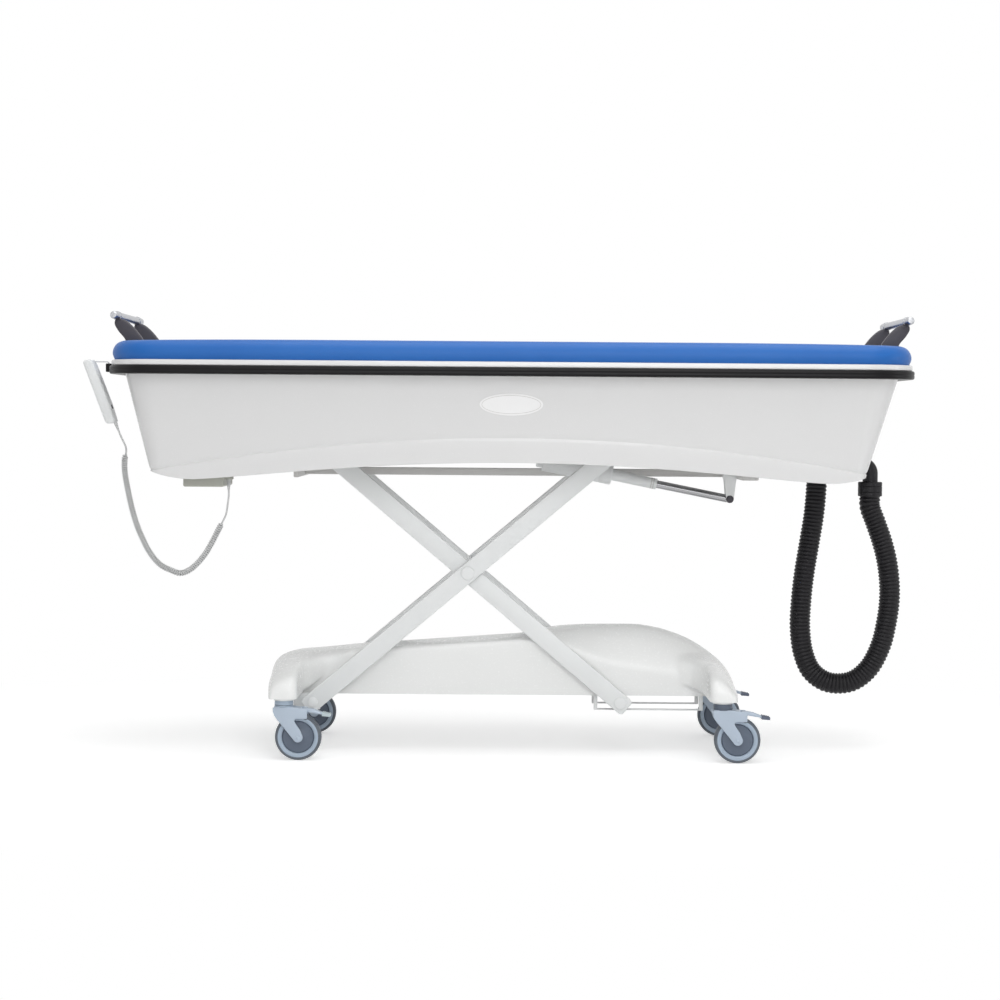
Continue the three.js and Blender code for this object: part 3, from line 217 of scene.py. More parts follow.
def carved(piece, *tools, operation="DIFFERENCE"):
    """Cuts the piece with others, which are used up."""
    for tool in tools:
        modified(piece, "BOOLEAN", operation=operation, object=tool, solver="EXACT")
        bpy.data.objects.remove(tool)
    return piece


def fused(piece, *others):
    """One skin round the piece and others, which are used up."""
    return carved(piece, *others, operation="UNION")


def loft(name, rings, cyclic=False):
    """A skin through rings of equal point counts, closed at both ends or joined end to end."""
    count = len(rings[0])
    corners = [p for ring in rings for p in ring]
    faces = []
    for r in range(len(rings) if cyclic else len(rings) - 1):
        a, b = r * count, ((r + 1) % len(rings)) * count
        for i in range(count):
            j = (i + 1) % count
            faces.append((a + i, a + j, b + j, b + i))
    if not cyclic:
        faces.append(list(range(count - 1, -1, -1)))
        faces.append(list(range((len(rings) - 1) * count, len(rings) * count)))
    return whole(mesh_piece(name, corners, faces))


# Lines and tubes

def steepness(before, here, after, span_before, span_after):
    """How steeply a smooth line passes the middle one of three values."""
    return ((here - before) / span_before - (after - before) / (span_before + span_after)
            + (after - here) / span_after)


def smooth_line(points, steps):
    """Points on a smooth line through the given ones, steps to each span."""
    size = len(points[0])
    before = [2 * points[0][a] - points[1][a] for a in range(size)]
    after = [2 * points[-1][a] - points[-2][a] for a in range(size)]
    knots = [before, *points, after]
    found = []
    for k in range(len(points) - 1):
        around = knots[k:k + 4]
        first, middle, last = (max(math.dist(a, b), 1e-6) ** 0.5 for a, b in zip(around, around[1:]))
        for s in range(steps):
            t = s / steps
            place = []
            for p0, p1, p2, p3 in zip(*around):
                leaving = steepness(p0, p1, p2, first, middle) * middle
                arriving = steepness(p1, p2, p3, middle, last) * middle
                square = 3 * (p2 - p1) - 2 * leaving - arriving
                cube = 2 * (p1 - p2) + leaving + arriving
                place.append(p1 + leaving * t + square * t ** 2 + cube * t ** 3)
            found.append(place)
    found.append(list(points[-1]))
    return found


def evenly(points, count):
    """count + 1 places, evenly far apart along a line of many points."""
    reach = [0.0]
    for a, b in zip(points, points[1:]):
        reach.append(reach[-1] + (b - a).length)
    found = []
    k = 0
    for i in range(count + 1):
        want = reach[-1] * i / count
        while k < len(points) - 2 and reach[k + 1] < want:
            k += 1
        span = max(reach[k + 1] - reach[k], 1e-12)
        found.append(points[k].lerp(points[k + 1], clamped((want - reach[k]) / span)))
    return found


def line_length(points):
    return sum((b - a).length for a, b in zip(points, points[1:]))


def spokes(path):
    """At each point of a path, two directions square to it, turned as little as possible."""
    found = []
    side = None
    for i, place in enumerate(path):
        heading = (path[min(i + 1, len(path) - 1)] - path[max(i - 1, 0)]).normalized()
        if side is None:
            side = Vector((0, 1, 0)) if abs(heading.y) < 0.9 else Vector((1, 0, 0))
        side = (side - heading * side.dot(heading)).normalized()
        found.append((side.copy(), heading.cross(side)))
    return found


def oval_ring(place, a, b, reach_a, reach_b, sides):
    """Points round a place, on the oval that two directions span."""
    turns = [math.tau * k / sides for k in range(sides)]
    return [place + a * (reach_a * math.cos(t)) + b * (reach_b * math.sin(t)) for t in turns]


def tube(name, path, radius_at, sides):
    """A tube along a path, its radius given for each of the path's places."""
    rings = []
    for i, (place, (a, b)) in enumerate(zip(path, spokes(path))):
        radius = radius_at(i) * MM
        rings.append(oval_ring(place, a, b, radius, radius, sides))
    return smooth(loft(name, rings), 50)


# Finishes

class Wire:
    """One output of a node, which can be reckoned with like a number."""

    def __init__(self, nodes, socket):
        self.nodes = nodes
        self.socket = socket

    def __add__(self, other):
        return self.nodes.reckon("ADD", self, other)

    def __sub__(self, other):
        return self.nodes.reckon("SUBTRACT", self, other)

    def __rsub__(self, other):
        return self.nodes.reckon("SUBTRACT", other, self)

    def __mul__(self, other):
        return self.nodes.reckon("MULTIPLY", self, other)

    def __pow__(self, other):
        return self.nodes.reckon("POWER", self, other)

    __radd__ = __add__
    __rmul__ = __mul__


class Nodes:
    """The nodes of one material, or of the world."""

    def __init__(self, owner):
        owner.use_nodes = True
        self.tree = owner.node_tree
        self.tree.nodes.clear()

    def node(self, kind, settings=None, sockets=None):
        made = self.tree.nodes.new(kind)
        for name, value in (settings or {}).items():
            setattr(made, name, value)
        for key, value in (sockets or {}).items():
            if isinstance(value, Wire):
                self.tree.links.new(value.socket, made.inputs[key])
            else:
                made.inputs[key].default_value = value
        return made

    def wire(self, kind, settings=None, sockets=None, output=0):
        return Wire(self, self.node(kind, settings, sockets).outputs[output])

    def reckon(self, operation, *values):
        return self.wire("ShaderNodeMath", {"operation": operation}, dict(enumerate(values)))

    def ranged(self, value, low, high, start=0.0, end=1.0, way="SMOOTHSTEP"):
        """start below low, end above high, and in between what the way gives."""
        return self.wire("ShaderNodeMapRange", {"interpolation_type": way}, {
            "Value": value, "From Min": low, "From Max": high, "To Min": start, "To Max": end})

    def place_along(self, kind, axis):
        """One coordinate of a place, on one kind of texture coordinates."""
        place = self.wire("ShaderNodeTexCoord", output=kind)
        return self.wire("ShaderNodeSeparateXYZ", {}, {"Vector": place}, axis)

    def looked_at(self):
        """1 for rays from the camera, straight or by gloss or glass, and 0 for light on the object."""
        path = self.node("ShaderNodeLightPath")
        camera, gloss, glass = (Wire(self, path.outputs[ray])
                                for ray in ("Is Camera Ray", "Is Glossy Ray", "Is Transmission Ray"))
        return self.reckon("MAXIMUM", camera, self.reckon("MAXIMUM", gloss, glass))


class Finish(Nodes):
    """A material with one shader, its colour and bump worked out by nodes."""

    def __init__(self, name, roughness, metallic=0.0, **sockets):
        self.material = bpy.data.materials.new(name)
        super().__init__(self.material)
        self.shader = self.node("ShaderNodeBsdfPrincipled", {}, {
            "Roughness": roughness, "Metallic": metallic, **sockets})
        self.node("ShaderNodeOutputMaterial", {}, {"Surface": Wire(self, self.shader.outputs[0])})
        self.place = self.wire("ShaderNodeTexCoord", output="Object")

    def noise(self, scale, detail, stretch=(1, 1, 1), roughness=0.5):
        place = self.wire("ShaderNodeMapping", {}, {"Vector": self.place, "Scale": stretch})
        return self.wire("ShaderNodeTexNoise", {}, {
            "Vector": place, "Scale": scale, "Detail": detail, "Roughness": roughness}, "Fac")

    def cells(self, scale):
        """How far the nearest of many scattered points is."""
        return self.wire("ShaderNodeTexVoronoi", {"feature": "F1"}, {
            "Vector": self.place, "Scale": scale}, "Distance")

    def set(self, name, wire):
        self.tree.links.new(wire.socket, self.shader.inputs[name])

    def colour(self, share, first, second):
        """The first colour, with a share of the second."""
        self.set("Base Color", self.wire("ShaderNodeMix", {"data_type": "RGBA"}, {
            0: share, 6: first, 7: second}, 2))

    def bump(self, height, distance, strength):
        self.set("Normal", self.wire("ShaderNodeBump", {}, {
            "Height": height, "Distance": distance, "Strength": strength}))


def tone(red, green, blue):
    """A colour as the eye reads it, 0 to 255, in the shader's own numbers."""
    shares = [value / 255 for value in (red, green, blue)]
    linear = [s / 12.92 if s <= 0.04045 else ((s + 0.055) / 1.055) ** 2.4 for s in shares]
    return (*linear, 1.0)


def gelcoat(name, colour, shade):
    """Glossy moulded shell: a hard clear skin over white, slightly rippled, with fine specks and pores."""
    f = Finish(name, 0.3, **{"Coat Weight": 0.35, "Coat Roughness": 0.06, "IOR": 1.46})
    cloud = f.noise(3.2, 3)
    speck = f.noise(240, 2)
    ripple = f.noise(5, 0)
    pores = f.noise(1400, 1)
    f.colour(cloud * 0.2 + speck * 0.1, colour, shade)
    f.set("Roughness", speck * 0.02 + 0.26)
    f.bump(ripple + pores * 0.02, 0.0003, 0.12)
    return f.material


def satin_moulding(name, colour, shade, roughness, grain, depth):
    """Moulded plastic: an even grain, faint flow marks, a few scuffs."""
    f = Finish(name, roughness, **{"IOR": 1.48})
    flow = f.noise(6, 3, (1, 1, 0.3))
    scuff = f.ranged(f.noise(60, 6, (1, 1, 4), 0.7), 0.62, 0.72)
    speck = f.noise(300, 2)
    gloss = f.noise(160, 2)
    f.colour(flow * 0.3 + speck * 0.12 + scuff * 0.12, colour, shade)
    f.set("Roughness", gloss * 0.03 + scuff * 0.03 + (roughness - 0.015))
    f.bump(f.noise(grain, 2), depth, 0.3)
    return f.material


def powder_coat(name, colour, shade, roughness=0.34):
    """Baked paint on steel: orange-peel skin, faint clouding and specks, a few small chips."""
    f = Finish(name, roughness, **{"Coat Weight": 0.15, "Coat Roughness": 0.2})
    cloud = f.noise(7, 3)
    chip = f.ranged(f.noise(150, 4, (1, 1, 1), 0.7), 0.8, 0.83)
    speck = f.noise(300, 2)
    gloss = f.noise(200, 2)
    peel = f.noise(420, 1)
    f.colour(cloud * 0.2 + speck * 0.15 + chip * 0.3, colour, shade)
    f.set("Roughness", gloss * 0.03 + chip * 0.15 + (roughness - 0.015))
    f.bump(peel - chip * 0.8, 0.00002, 0.25)
    return f.material


def rubber(name, colour, shade, roughness, grain, gloss=0.5):
    """Rubber: patches of dust, and a moulded grain."""
    f = Finish(name, roughness, **{"IOR": 1.45, "Specular IOR Level": gloss})
    dust = f.ranged(f.noise(22, 5, (1, 1, 1), 0.65), 0.45, 0.75)
    f.colour(dust * 0.6, colour, shade)
    f.set("Roughness", dust * 0.2 + (roughness - 0.08))
    f.bump(f.noise(grain, 3), 0.0001, 0.6)
    return f.material


def bare_metal(name, colour, shade, roughness, stretch):
    """Metal with fine marks that run across the trolley, as on a bar drawn that way."""
    f = Finish(name, roughness, 1.0)
    marks = f.noise(900, 3, stretch)
    tarnish = f.noise(30, 3)
    f.colour(marks * 0.5, colour, shade)
    f.set("Roughness", marks * 0.14 + tarnish * 0.08 + (roughness - 0.1))
    f.bump(marks, 0.00003, 0.5)
    return f.material


def padded_skin(name, colour, shade):
    """Coated fabric over foam: a fine pebble grain, a faint sheen, and soft creases."""
    f = Finish(name, 0.42, **{"Sheen Weight": 0.05, "Sheen Roughness": 0.4, "IOR": 1.45})
    pebble = f.cells(620)
    crease = f.noise(14, 5, (1, 2.2, 1), 0.6)
    cloud = f.noise(4, 2)
    dent = f.noise(60, 3)
    f.colour(cloud * 0.45 + (1 - pebble) * 0.12, colour, shade)
    f.set("Roughness", pebble * 0.25 + cloud * 0.1 + 0.3)
    f.bump(pebble * 0.5 + crease * 6 + dent * 1.5, 0.00025, 0.6)
    return f.material


# The trolley's own finishes: each a colour and a darker or dustier one that is mixed in

WHITE_SHELL = gelcoat("shell_gelcoat", tone(227, 227, 227), tone(220, 220, 220))
WHITE_COVER = satin_moulding("cover_moulding", tone(244, 245, 244), tone(237, 238, 237), 0.27, 900, 0.00003)
WHITE_PAINT = powder_coat("white_paint", tone(234, 236, 236), tone(226, 228, 228))
GREY_PAINT = powder_coat("grey_paint", tone(212, 211, 209), tone(192, 191, 189), 0.45)
BLUE_PAD = padded_skin("blue_padding", tone(20, 102, 182), tone(12, 84, 164))
BLACK_BUMPER = rubber("black_bumper", tone(15, 14, 16), tone(26, 25, 28), 0.4, 700, 0.22)
DARK_MOULDING = satin_moulding("dark_moulding", tone(64, 61, 68), tone(50, 48, 54), 0.5, 1500, 0.00008)
SILVER = bare_metal("silver_bar", tone(190, 191, 194), tone(160, 162, 166), 0.34, (1, 0.05, 1))
CHROME = bare_metal("bright_rod", tone(168, 168, 170), tone(140, 140, 143), 0.14, (1, 0.2, 1))
CASTOR_BLUE = satin_moulding("castor_moulding", tone(188, 201, 216), tone(172, 186, 202), 0.4, 1600, 0.00005)
CASTOR_DISC = satin_moulding("castor_disc", tone(96, 107, 123), tone(78, 88, 104), 0.42, 1400, 0.00006)
CASTOR_TYRE = rubber("castor_tyre", tone(92, 99, 108), tone(116, 122, 128), 0.6, 1200)
CASTOR_RING = satin_moulding("castor_ring", tone(172, 187, 203), tone(154, 170, 188), 0.45, 1600, 0.00006)
PEDAL_TIP = rubber("pedal_tip", tone(96, 104, 122), tone(80, 86, 102), 0.5, 1400)
PALE_TIP = rubber("pale_tip", tone(196, 210, 214), tone(176, 190, 196), 0.5, 1400)
BLACK_HOSE = rubber("hose_rubber", tone(24, 23, 26), tone(36, 35, 38), 0.5, 800, 0.3)
GREY_CORD = rubber("cord_skin", tone(204, 205, 205), tone(186, 187, 187), 0.45, 1500)
PALE_CONTROL = satin_moulding("control_moulding", tone(234, 236, 236), tone(220, 222, 222), 0.45, 1500,
                              0.00006)
OLIVE_BOX = satin_moulding("box_moulding", tone(182, 183, 174), tone(166, 167, 157), 0.5, 1200, 0.00008)
BUTTON = rubber("button_rubber", tone(112, 118, 120), tone(96, 101, 104), 0.5, 1500)
BADGE = gelcoat("badge_plate", tone(248, 248, 248), tone(240, 240, 240))


def show(piece, finish, body, slot, *replaced):
    """Gives a piece its finish and its body, and hides the frame nodes it stands for."""
    piece.data.materials.clear()
    piece.data.materials.append(finish)
    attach(piece, body)
    if replaced:
        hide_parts(*replaced)


# Camera: square to the long side, a little below the tub's rim

LENS = 80.4
CAMERA_PLACE = (0, -6240, 917)
CAMERA_TILT = math.radians(90 - 2.05)
CAMERA_ROLL = math.radians(0.43)
PICTURE_SHIFT = -0.005


def make_camera():
    data = bpy.data.cameras.new("camera")
    data.lens = LENS
    data.sensor_width = 36
    data.shift_x = PICTURE_SHIFT
    camera = bpy.data.objects.new("camera", data)
    bpy.context.scene.collection.objects.link(camera)
    turn = Matrix.Rotation(CAMERA_TILT, 4, "X") @ Matrix.Rotation(CAMERA_ROLL, 4, "Z")
    camera.matrix_world = Matrix.Translation(at(*CAMERA_PLACE)) @ turn
    bpy.context.scene.camera = camera


# Drain hose: one hanging loop of ribbed hose from the cuff to its holder

HOSE_ROUTE = [
    (1020, 739.7), (1020, 712), (1020, 684), (1036, 640), (1054, 590), (1068, 539), (1077, 478), (1078, 416),
    (1070, 354), (1055, 292), (1023, 230), (981, 195), (939, 186), (899, 193), (862, 221), (839, 271),
    (829, 341), (831, 414), (839, 496), (852, 580), (864, 661), (870, 742), (870, 790), (870, 825),
    (870, 860),
]
HOSE_RIBS = 130
RIB_PROFILE = [26.4, 28.0, 29.2, 29.2, 28.0]  # radii from one groove to the next


def make_hose():
    line = [at(x, 0, z) for x, z in smooth_line(HOSE_ROUTE, 12)]
    path = evenly(line, HOSE_RIBS * len(RIB_PROFILE))
    hose = tube("ribbed_hose", path, lambda i: RIB_PROFILE[i % len(RIB_PROFILE)], 28)
    show(hose, BLACK_HOSE, "platform", "hose", "drain_hose")
    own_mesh(hose)
    round(line_length(path), 3)


# Cord of the hand control: a thin lead, a curly run, and a thin lead up to the gland

CORD_ROUTE = [
    (-1044.5, 889.9), (-1033, 862), (-1022, 839), (-1020, 824), (-1024, 806), (-1024, 772), (-1016, 724),
    (-1005, 674), (-992, 630), (-975, 589), (-954, 550), (-927, 520), (-899, 506), (-874, 498), (-849, 507),
    (-827, 526), (-806, 552), (-787, 585), (-772, 615), (-760, 638), (-751, 658), (-747, 682), (-744, 706),
]
CORD_END = (-744, 723.4)
CORD_PLACES = 1000
CURLS_FROM = 122
CURLS_TO = 874
LEAD_STEP = 10
GLAND_STEP = 9
CURLS = 96
CURL_STEPS = 12
CURL_REACH = 6
CORD_RADIUS = 2.5
CONTROL_Y = -230
HANDSET_TOP = (-1134, 1067)
HANDSET_DEPTH = 31
HANDSET_LENGTH = 185
HANDSET_TILT = math.radians(20.7)
CORD_DEEP = HANDSET_DEPTH * 0.68


def handset_point(deep, down):
    """A place on the hand control: inwards from its outer face, and down from its top."""
    x = deep * math.cos(HANDSET_TILT) + down * math.sin(HANDSET_TILT)
    z = deep * math.sin(HANDSET_TILT) - down * math.cos(HANDSET_TILT)
    return at(HANDSET_TOP[0] + x, CONTROL_Y, HANDSET_TOP[1] + z)


def curled(axis):
    """A helix round a line, which runs in and out of it over one turn."""
    coil = []
    for i, (place, (a, b)) in enumerate(zip(axis, spokes(axis))):
        run_in = min(i, len(axis) - 1 - i, CURL_STEPS) / CURL_STEPS
        reach = CURL_REACH * MM * math.sin(math.pi / 2 * run_in)
        turn = math.tau * i / CURL_STEPS
        coil.append(place + a * (reach * math.cos(turn)) + b * (reach * math.sin(turn)))
    return coil


def make_cord():
    start = handset_point(CORD_DEEP, HANDSET_LENGTH + 0.3)
    knots = [tuple(start)] + [tuple(at(x, CONTROL_Y, z)) for x, z in CORD_ROUTE + [CORD_END]]
    line = [Vector(p) for p in smooth_line(knots, 20)]
    middle = evenly(line, CORD_PLACES)
    coil = curled(evenly(middle[CURLS_FROM:CURLS_TO + 1], CURLS * CURL_STEPS))
    wire = middle[:CURLS_FROM:LEAD_STEP] + coil + middle[CURLS_TO + GLAND_STEP::GLAND_STEP]
    cord = tube("hand_cord", wire, lambda i: CORD_RADIUS, 8)
    show(cord, GREY_CORD, "platform", "cord", "handset_lead", "curly_cord", "gland_lead")
    round(line_length(wire), 3)


# Tub: the same rounded outline at each height, with a close skin of points

TUB_LENGTH = 2150
TUB_WIDTH = 780
TUB_MIDDLE = 16
FLANGE_TOP = 1070
FLANGE_BOTTOM = 1055.3
WALL_FOOT = 781
WALL_THICK = 4
DECK_BOTTOM = 890
DECK_TOP = 894
WALL_INSET = 37
LEFT_SLANT = 70
RIGHT_SLANT = 86
SIDE_SLANT = 60
CORNER_RADIUS = 130
LEAST_RADIUS = 26
SIDE_SPANS = 64
END_SPANS = 20
CORNER_SPANS = 14
CREASE_TOP = 869
CREASE_FALL = 88
CREASE_HALF = 940
ARCH_HALF = 850
ARCH_FOOT = 753
ARCH_RISE = 50
END_RISE = 18
DRAIN_X = 945


def tub_outline(left, right, side):
    """The tub from above, in from its widest by a way at each end and at the sides."""
    x0 = TUB_MIDDLE - TUB_LENGTH / 2 + left
    x1 = TUB_MIDDLE + TUB_LENGTH / 2 - right
    y1 = TUB_WIDTH / 2 - side
    r = max(CORNER_RADIUS - side, LEAST_RADIUS)
    found = []

    def run(ax, ay, bx, by, count):
        for i in range(1, count):
            found.append((ax + (bx - ax) * i / count, ay + (by - ay) * i / count))

    def bend(cx, cy, start):
        for i in range(CORNER_SPANS + 1):
            turn = start + math.pi / 2 * i / CORNER_SPANS
            found.append((cx + r * math.cos(turn), cy + r * math.sin(turn)))

    bend(x1 - r, y1 - r, 0)
    run(x1 - r, y1, x0 + r, y1, SIDE_SPANS)
    bend(x0 + r, y1 - r, math.pi / 2)
    run(x0, y1 - r, x0, -y1 + r, END_SPANS)
    bend(x0 + r, -y1 + r, math.pi)
    run(x0 + r, -y1, x1 - r, -y1, SIDE_SPANS)
    bend(x1 - r, -y1 + r, math.pi * 1.5)
    run(x1, -y1 + r, x1, y1 - r, END_SPANS)
    return found


OUTLINE_COUNT = len(tub_outline(0, 0, 0))


def even_ring(inset, z):
    """The widest outline at a height, in by the same way all round."""
    return [at(x, y, z) for x, y in tub_outline(inset, inset, inset)]


def wall_share(z):
    """How far down the slanting wall a height is: 0 under the flange, 1 at its foot."""
    return (FLANGE_BOTTOM - z) / (FLANGE_BOTTOM - WALL_FOOT)


def wall_surface(inset):
    """The wall, a given way inside its outer face: the x and y of any outline point at any height."""
    near = WALL_INSET + inset
    head = tub_outline(near, near, near)
    foot = tub_outline(near + LEFT_SLANT, near + RIGHT_SLANT, near + SIDE_SLANT)

    def place(i, z):
        share = wall_share(z)
        return [top + (low - top) * share for top, low in zip(head[i], foot[i])]
    return place


def wall_ring(inset, height):
    """The wall's outline at a height, which may be a number or worked out from x."""
    surface = wall_surface(inset)
    ring = []
    for i in range(OUTLINE_COUNT):
        z = height(surface(i, WALL_FOOT)[0]) if callable(height) else height
        ring.append(at(*surface(i, z), z))
    return ring


def crease(x):
    """The height of the bowed crease along the wall."""
    return CREASE_TOP - CREASE_FALL * ((x - TUB_MIDDLE) / CREASE_HALF) ** 2


def arch_edge(x):
    """The height of the shell's lower edge: an arch, with both ends turned up a little."""
    u = abs((x - TUB_MIDDLE) / ARCH_HALF)
    return ARCH_FOOT + (ARCH_RISE * (1 - u * u) ** 1.3 if u < 1 else END_RISE * ((u - 1) * 8) ** 2)


def band_ring(inset, share, lift):
    """Between the crease, share 0, and the lower edge, share 1, where the shell slants half as fast."""
    surface = wall_surface(inset)
    ring = []
    for i in range(OUTLINE_COUNT):
        x = surface(i, WALL_FOOT)[0]
        top = crease(x)
        edge = min(arch_edge(x), top - 0.3)
        z = top - (top - edge) * share
        ring.append(at(*surface(i, top - (top - z) * 0.5), z + lift))
    return ring


SHELL_BAND = [(WALL_THICK, 1, 0.8), (3.2, 1, 0), (0.8, 1, 0), (0, 1, 0.8), (0, 0.5, 0), (0, 0.14, 0),
              (0.5, 0.07, 0), (2.4, 0.03, 0)]
SHELL_LIP = [(2.9, 0), (2.2, 2.5), (0.6, 7), (0, 14)]
SHELL_WALL = [(0, 930), (0, 1000), (0, FLANGE_BOTTOM - 6), (-1.5, FLANGE_BOTTOM - 1.5)]
SHELL_FLANGE = [(30, FLANGE_BOTTOM), (7.5, FLANGE_BOTTOM), (6, FLANGE_BOTTOM + 1.5), (6, FLANGE_TOP - 3.5),
                (7, FLANGE_TOP - 1.1), (9.5, FLANGE_TOP), (59, FLANGE_TOP), (62, FLANGE_TOP - 1.5)]
SHELL_INSIDE = [(WALL_THICK, 1040), (WALL_THICK, DECK_TOP + 8), (6.5, DECK_TOP + 2), (12, DECK_TOP)]


def make_shell():
    rings = [wall_ring(WALL_THICK, DECK_BOTTOM), wall_ring(WALL_THICK, crease)]
    rings += [band_ring(inset, share, lift) for inset, share, lift in SHELL_BAND]
    rings += [wall_ring(inset, lambda x: crease(x) + rise) for inset, rise in SHELL_LIP]
    rings += [wall_ring(inset, z) for inset, z in SHELL_WALL]
    rings += [even_ring(inset, z) for inset, z in SHELL_FLANGE]
    rings += [wall_ring(inset, z) for inset, z in SHELL_INSIDE]
    shell = loft("tub_moulding", rings)
    outlet = turned_rod("outlet_tool", 23, at(DRAIN_X, 0, 800), at(DRAIN_X + 146, 0, 800))
    carved(shell, upright_rod("deck_tool", 20, DRAIN_X, 0, (880, 905)), outlet)
    show(rounded(shell), WHITE_SHELL, "platform", "shell", "tub_shell")


BUMPER_Z = 1043.5
BUMPER_HALF = 11.5
BUMPER_PROFILE = mirrored([(36.5, BUMPER_HALF), (6, BUMPER_HALF), (2.4, 10.5), (0.6, 8), (0, 4.5),
                           (0.5, 0.9)], [(1.1, 0)])


def make_bumper():
    rings = [even_ring(inset, BUMPER_Z + up) for inset, up in BUMPER_PROFILE]
    bumper = loft("bumper_strip", rings, cyclic=True)
    show(rounded(bumper), BLACK_BUMPER, "platform", "bumper", "rim_bumper")


# Badge: a bare oval plate with a thin outline, on the near wall

BADGE_X = 15
BADGE_Z = 958
BADGE_HALF = (84, 29)
BORDER_HALF = (78, 24)
BADGE_RINGS = [(1.0, 0.2), (1.0, 1.6), (0.97, 2.0), (0.94, 1.7)]  # size, and way out of the wall
BORDER_OUT = 1.75


def badge_ring(half, scale, out, count):
    """An upright oval's places, a given way out of the near wall."""
    ring = []
    for k in range(count):
        turn = math.tau * k / count
        x = BADGE_X + half[0] * scale * math.cos(turn)
        z = BADGE_Z + half[1] * scale * math.sin(turn)
        wall = -(TUB_WIDTH / 2 - WALL_INSET) + SIDE_SLANT * wall_share(z)
        ring.append(at(x, wall - out, z))
    return ring


def make_badge():
    badge = loft("badge_oval", [badge_ring(BADGE_HALF, scale, out, 64) for scale, out in BADGE_RINGS])
    show(rounded(badge), BADGE, "platform", "shell")
    line = badge_ring(BORDER_HALF, 1, BORDER_OUT, 96)
    rings = []
    for k, place in enumerate(line):
        heading = (line[(k + 1) % len(line)] - line[k - 1]).normalized()
        side = heading.cross(-ACROSS).normalized()
        rings.append(oval_ring(place, side, -ACROSS, 0.7 * MM, 0.35 * MM, 8))
    border = loft("badge_outline", rings, cyclic=True)
    show(rounded(border), GREY_PAINT, "platform", "shell")


# Liner: rings close together at its seams, blown up between them by a short cloth simulation

LYING = DECK_TOP + GAP + 31
PAD_THICK = 34
PAD_LEVELS = (1066, 1050, 1030, 1008, 986)
COVE_WIDTH = 34
COVE = ((0.02, 50), (0.08, 34), (0.2, 20), (0.4, 10), (0.65, 4), (1, 0.6))  # share of the width, rise
FLOOR_EDGE_WIDTH = 200
FLOOR_EDGE = ((0.1, 1.2), (0.2, 2.2), (0.34, 3.2), (0.5, 4), (0.68, 4.6), (0.85, 4.9), (1, 5))
ROLL_BASE = FLANGE_TOP + GAP
ROLL_INSET = 9
ROLL_WIDTH = 74
ROLL_HEIGHT = 50
ROLL_SHARES = [(0.08, 0.0), (0.0, 0.3), (0.04, 0.62), (0.18, 0.88), (0.4, 1.0), (0.64, 0.99), (0.86, 0.84),
               (0.98, 0.55), (1.0, 0.2)]
CLOTH_STEPS = 12
CLOTH_REACH = 0.004
HANDLE_Y = 160
HANDLE_X = TUB_LENGTH / 2 - 73
HANDLE_REACH = 77


def liner_rings():
    """The liner's rings, from its underside over the rim to the lying surface, and which are seams."""
    rings = [wall_ring(5, DECK_TOP + GAP), wall_ring(5, 985)]
    rings += [even_ring(63, ROLL_BASE - 3), even_ring(60, ROLL_BASE)]
    for across, up in smooth_line(ROLL_SHARES, 3):
        rings.append(even_ring(ROLL_INSET + ROLL_WIDTH * across, ROLL_BASE + ROLL_HEIGHT * up))
    seams = [0, 1, 2, 3, 4, len(rings) - 1]
    rings += [wall_ring(PAD_THICK, z) for z in PAD_LEVELS]
    rings += [wall_ring(PAD_THICK + COVE_WIDTH * inward, LYING + up) for inward, up in COVE]
    seams.append(len(rings) - 1)
    rings.append(wall_ring(PAD_THICK + COVE_WIDTH + 3, LYING - 0.2))
    for inward, up in FLOOR_EDGE:
        rings.append(wall_ring(PAD_THICK + COVE_WIDTH + FLOOR_EDGE_WIDTH * inward, LYING + up))
    return rings, seams


def blow_up(liner, seams):
    """Cloth under pressure, held at its seams; no point moves further than the cloth's reach."""
    rest = [v.co.copy() for v in liner.data.vertices]
    held = liner.vertex_groups.new(name="seams")
    for ring in seams:
        held.add(list(range(ring * OUTLINE_COUNT, (ring + 1) * OUTLINE_COUNT)), 1.0, "REPLACE")
    cloth = liner.modifiers.new("cloth", "CLOTH")
    cloth.settings.vertex_group_mass = held.name
    cloth.settings.use_pressure = True
    cloth.settings.uniform_pressure_force = 4
    cloth.settings.tension_stiffness = 25
    cloth.settings.compression_stiffness = 25
    cloth.settings.bending_stiffness = 2
    cloth.settings.effector_weights.gravity = 0
    cloth.point_cache.frame_end = CLOTH_STEPS
    for step in range(1, CLOTH_STEPS + 1):
        bpy.context.scene.frame_set(step)
    apply_all(liner)
    bpy.context.scene.frame_set(1)
    for v, was in zip(liner.data.vertices, rest):
        move = v.co - was
        if move.length > CLOTH_REACH:
            v.co = was + move.normalized() * CLOTH_REACH
    liner.vertex_groups.clear()


def make_liner():
    rings, seams = liner_rings()
    liner = loft("padded_liner", rings)
    blow_up(liner, seams)
    tools = [upright_rod("drain_tool", 16, DRAIN_X, 0, (880, 960))]
    for _, end in ENDS:
        inner = TUB_MIDDLE + end * (HANDLE_X - 3)
        outer = inner + end * (HANDLE_REACH * 0.63 + 6)
        for _, side in SIDES:
            ys = (side * HANDLE_Y - 15, side * HANDLE_Y + 15)
            tools.append(brick("pocket", (inner, outer), ys, (1065, 1130), 4, 3))
    carved(liner, combined("liner_tools", *tools))
    show(rounded(liner), BLUE_PAD, "platform", "pad", "tub_liner")


# Push handles

HANDLE_RISE = 112
HANDLE_SHARES = [(0.15, 0.0), (0.04, 0.28), (0.0, 0.49), (0.17, 0.68), (0.45, 0.89), (0.68, 1.0),
                 (0.95, 1.01), (1.0, 0.9), (0.87, 0.725), (0.62, 0.505), (0.56, 0.27), (0.56, 0.0)]
BAR_PLACE = (HANDLE_REACH * 0.909, 121.6)
BAR_PROFILE = mirrored([(0.0, 222), (6.8, 221.6), (9.4, 219.6), (10.6, 216), (10.6, 120)], [(10.6, 0)])
GRIP_RING = mirrored([(10.7, 9), (11.8, 9), (12.4, 8)])


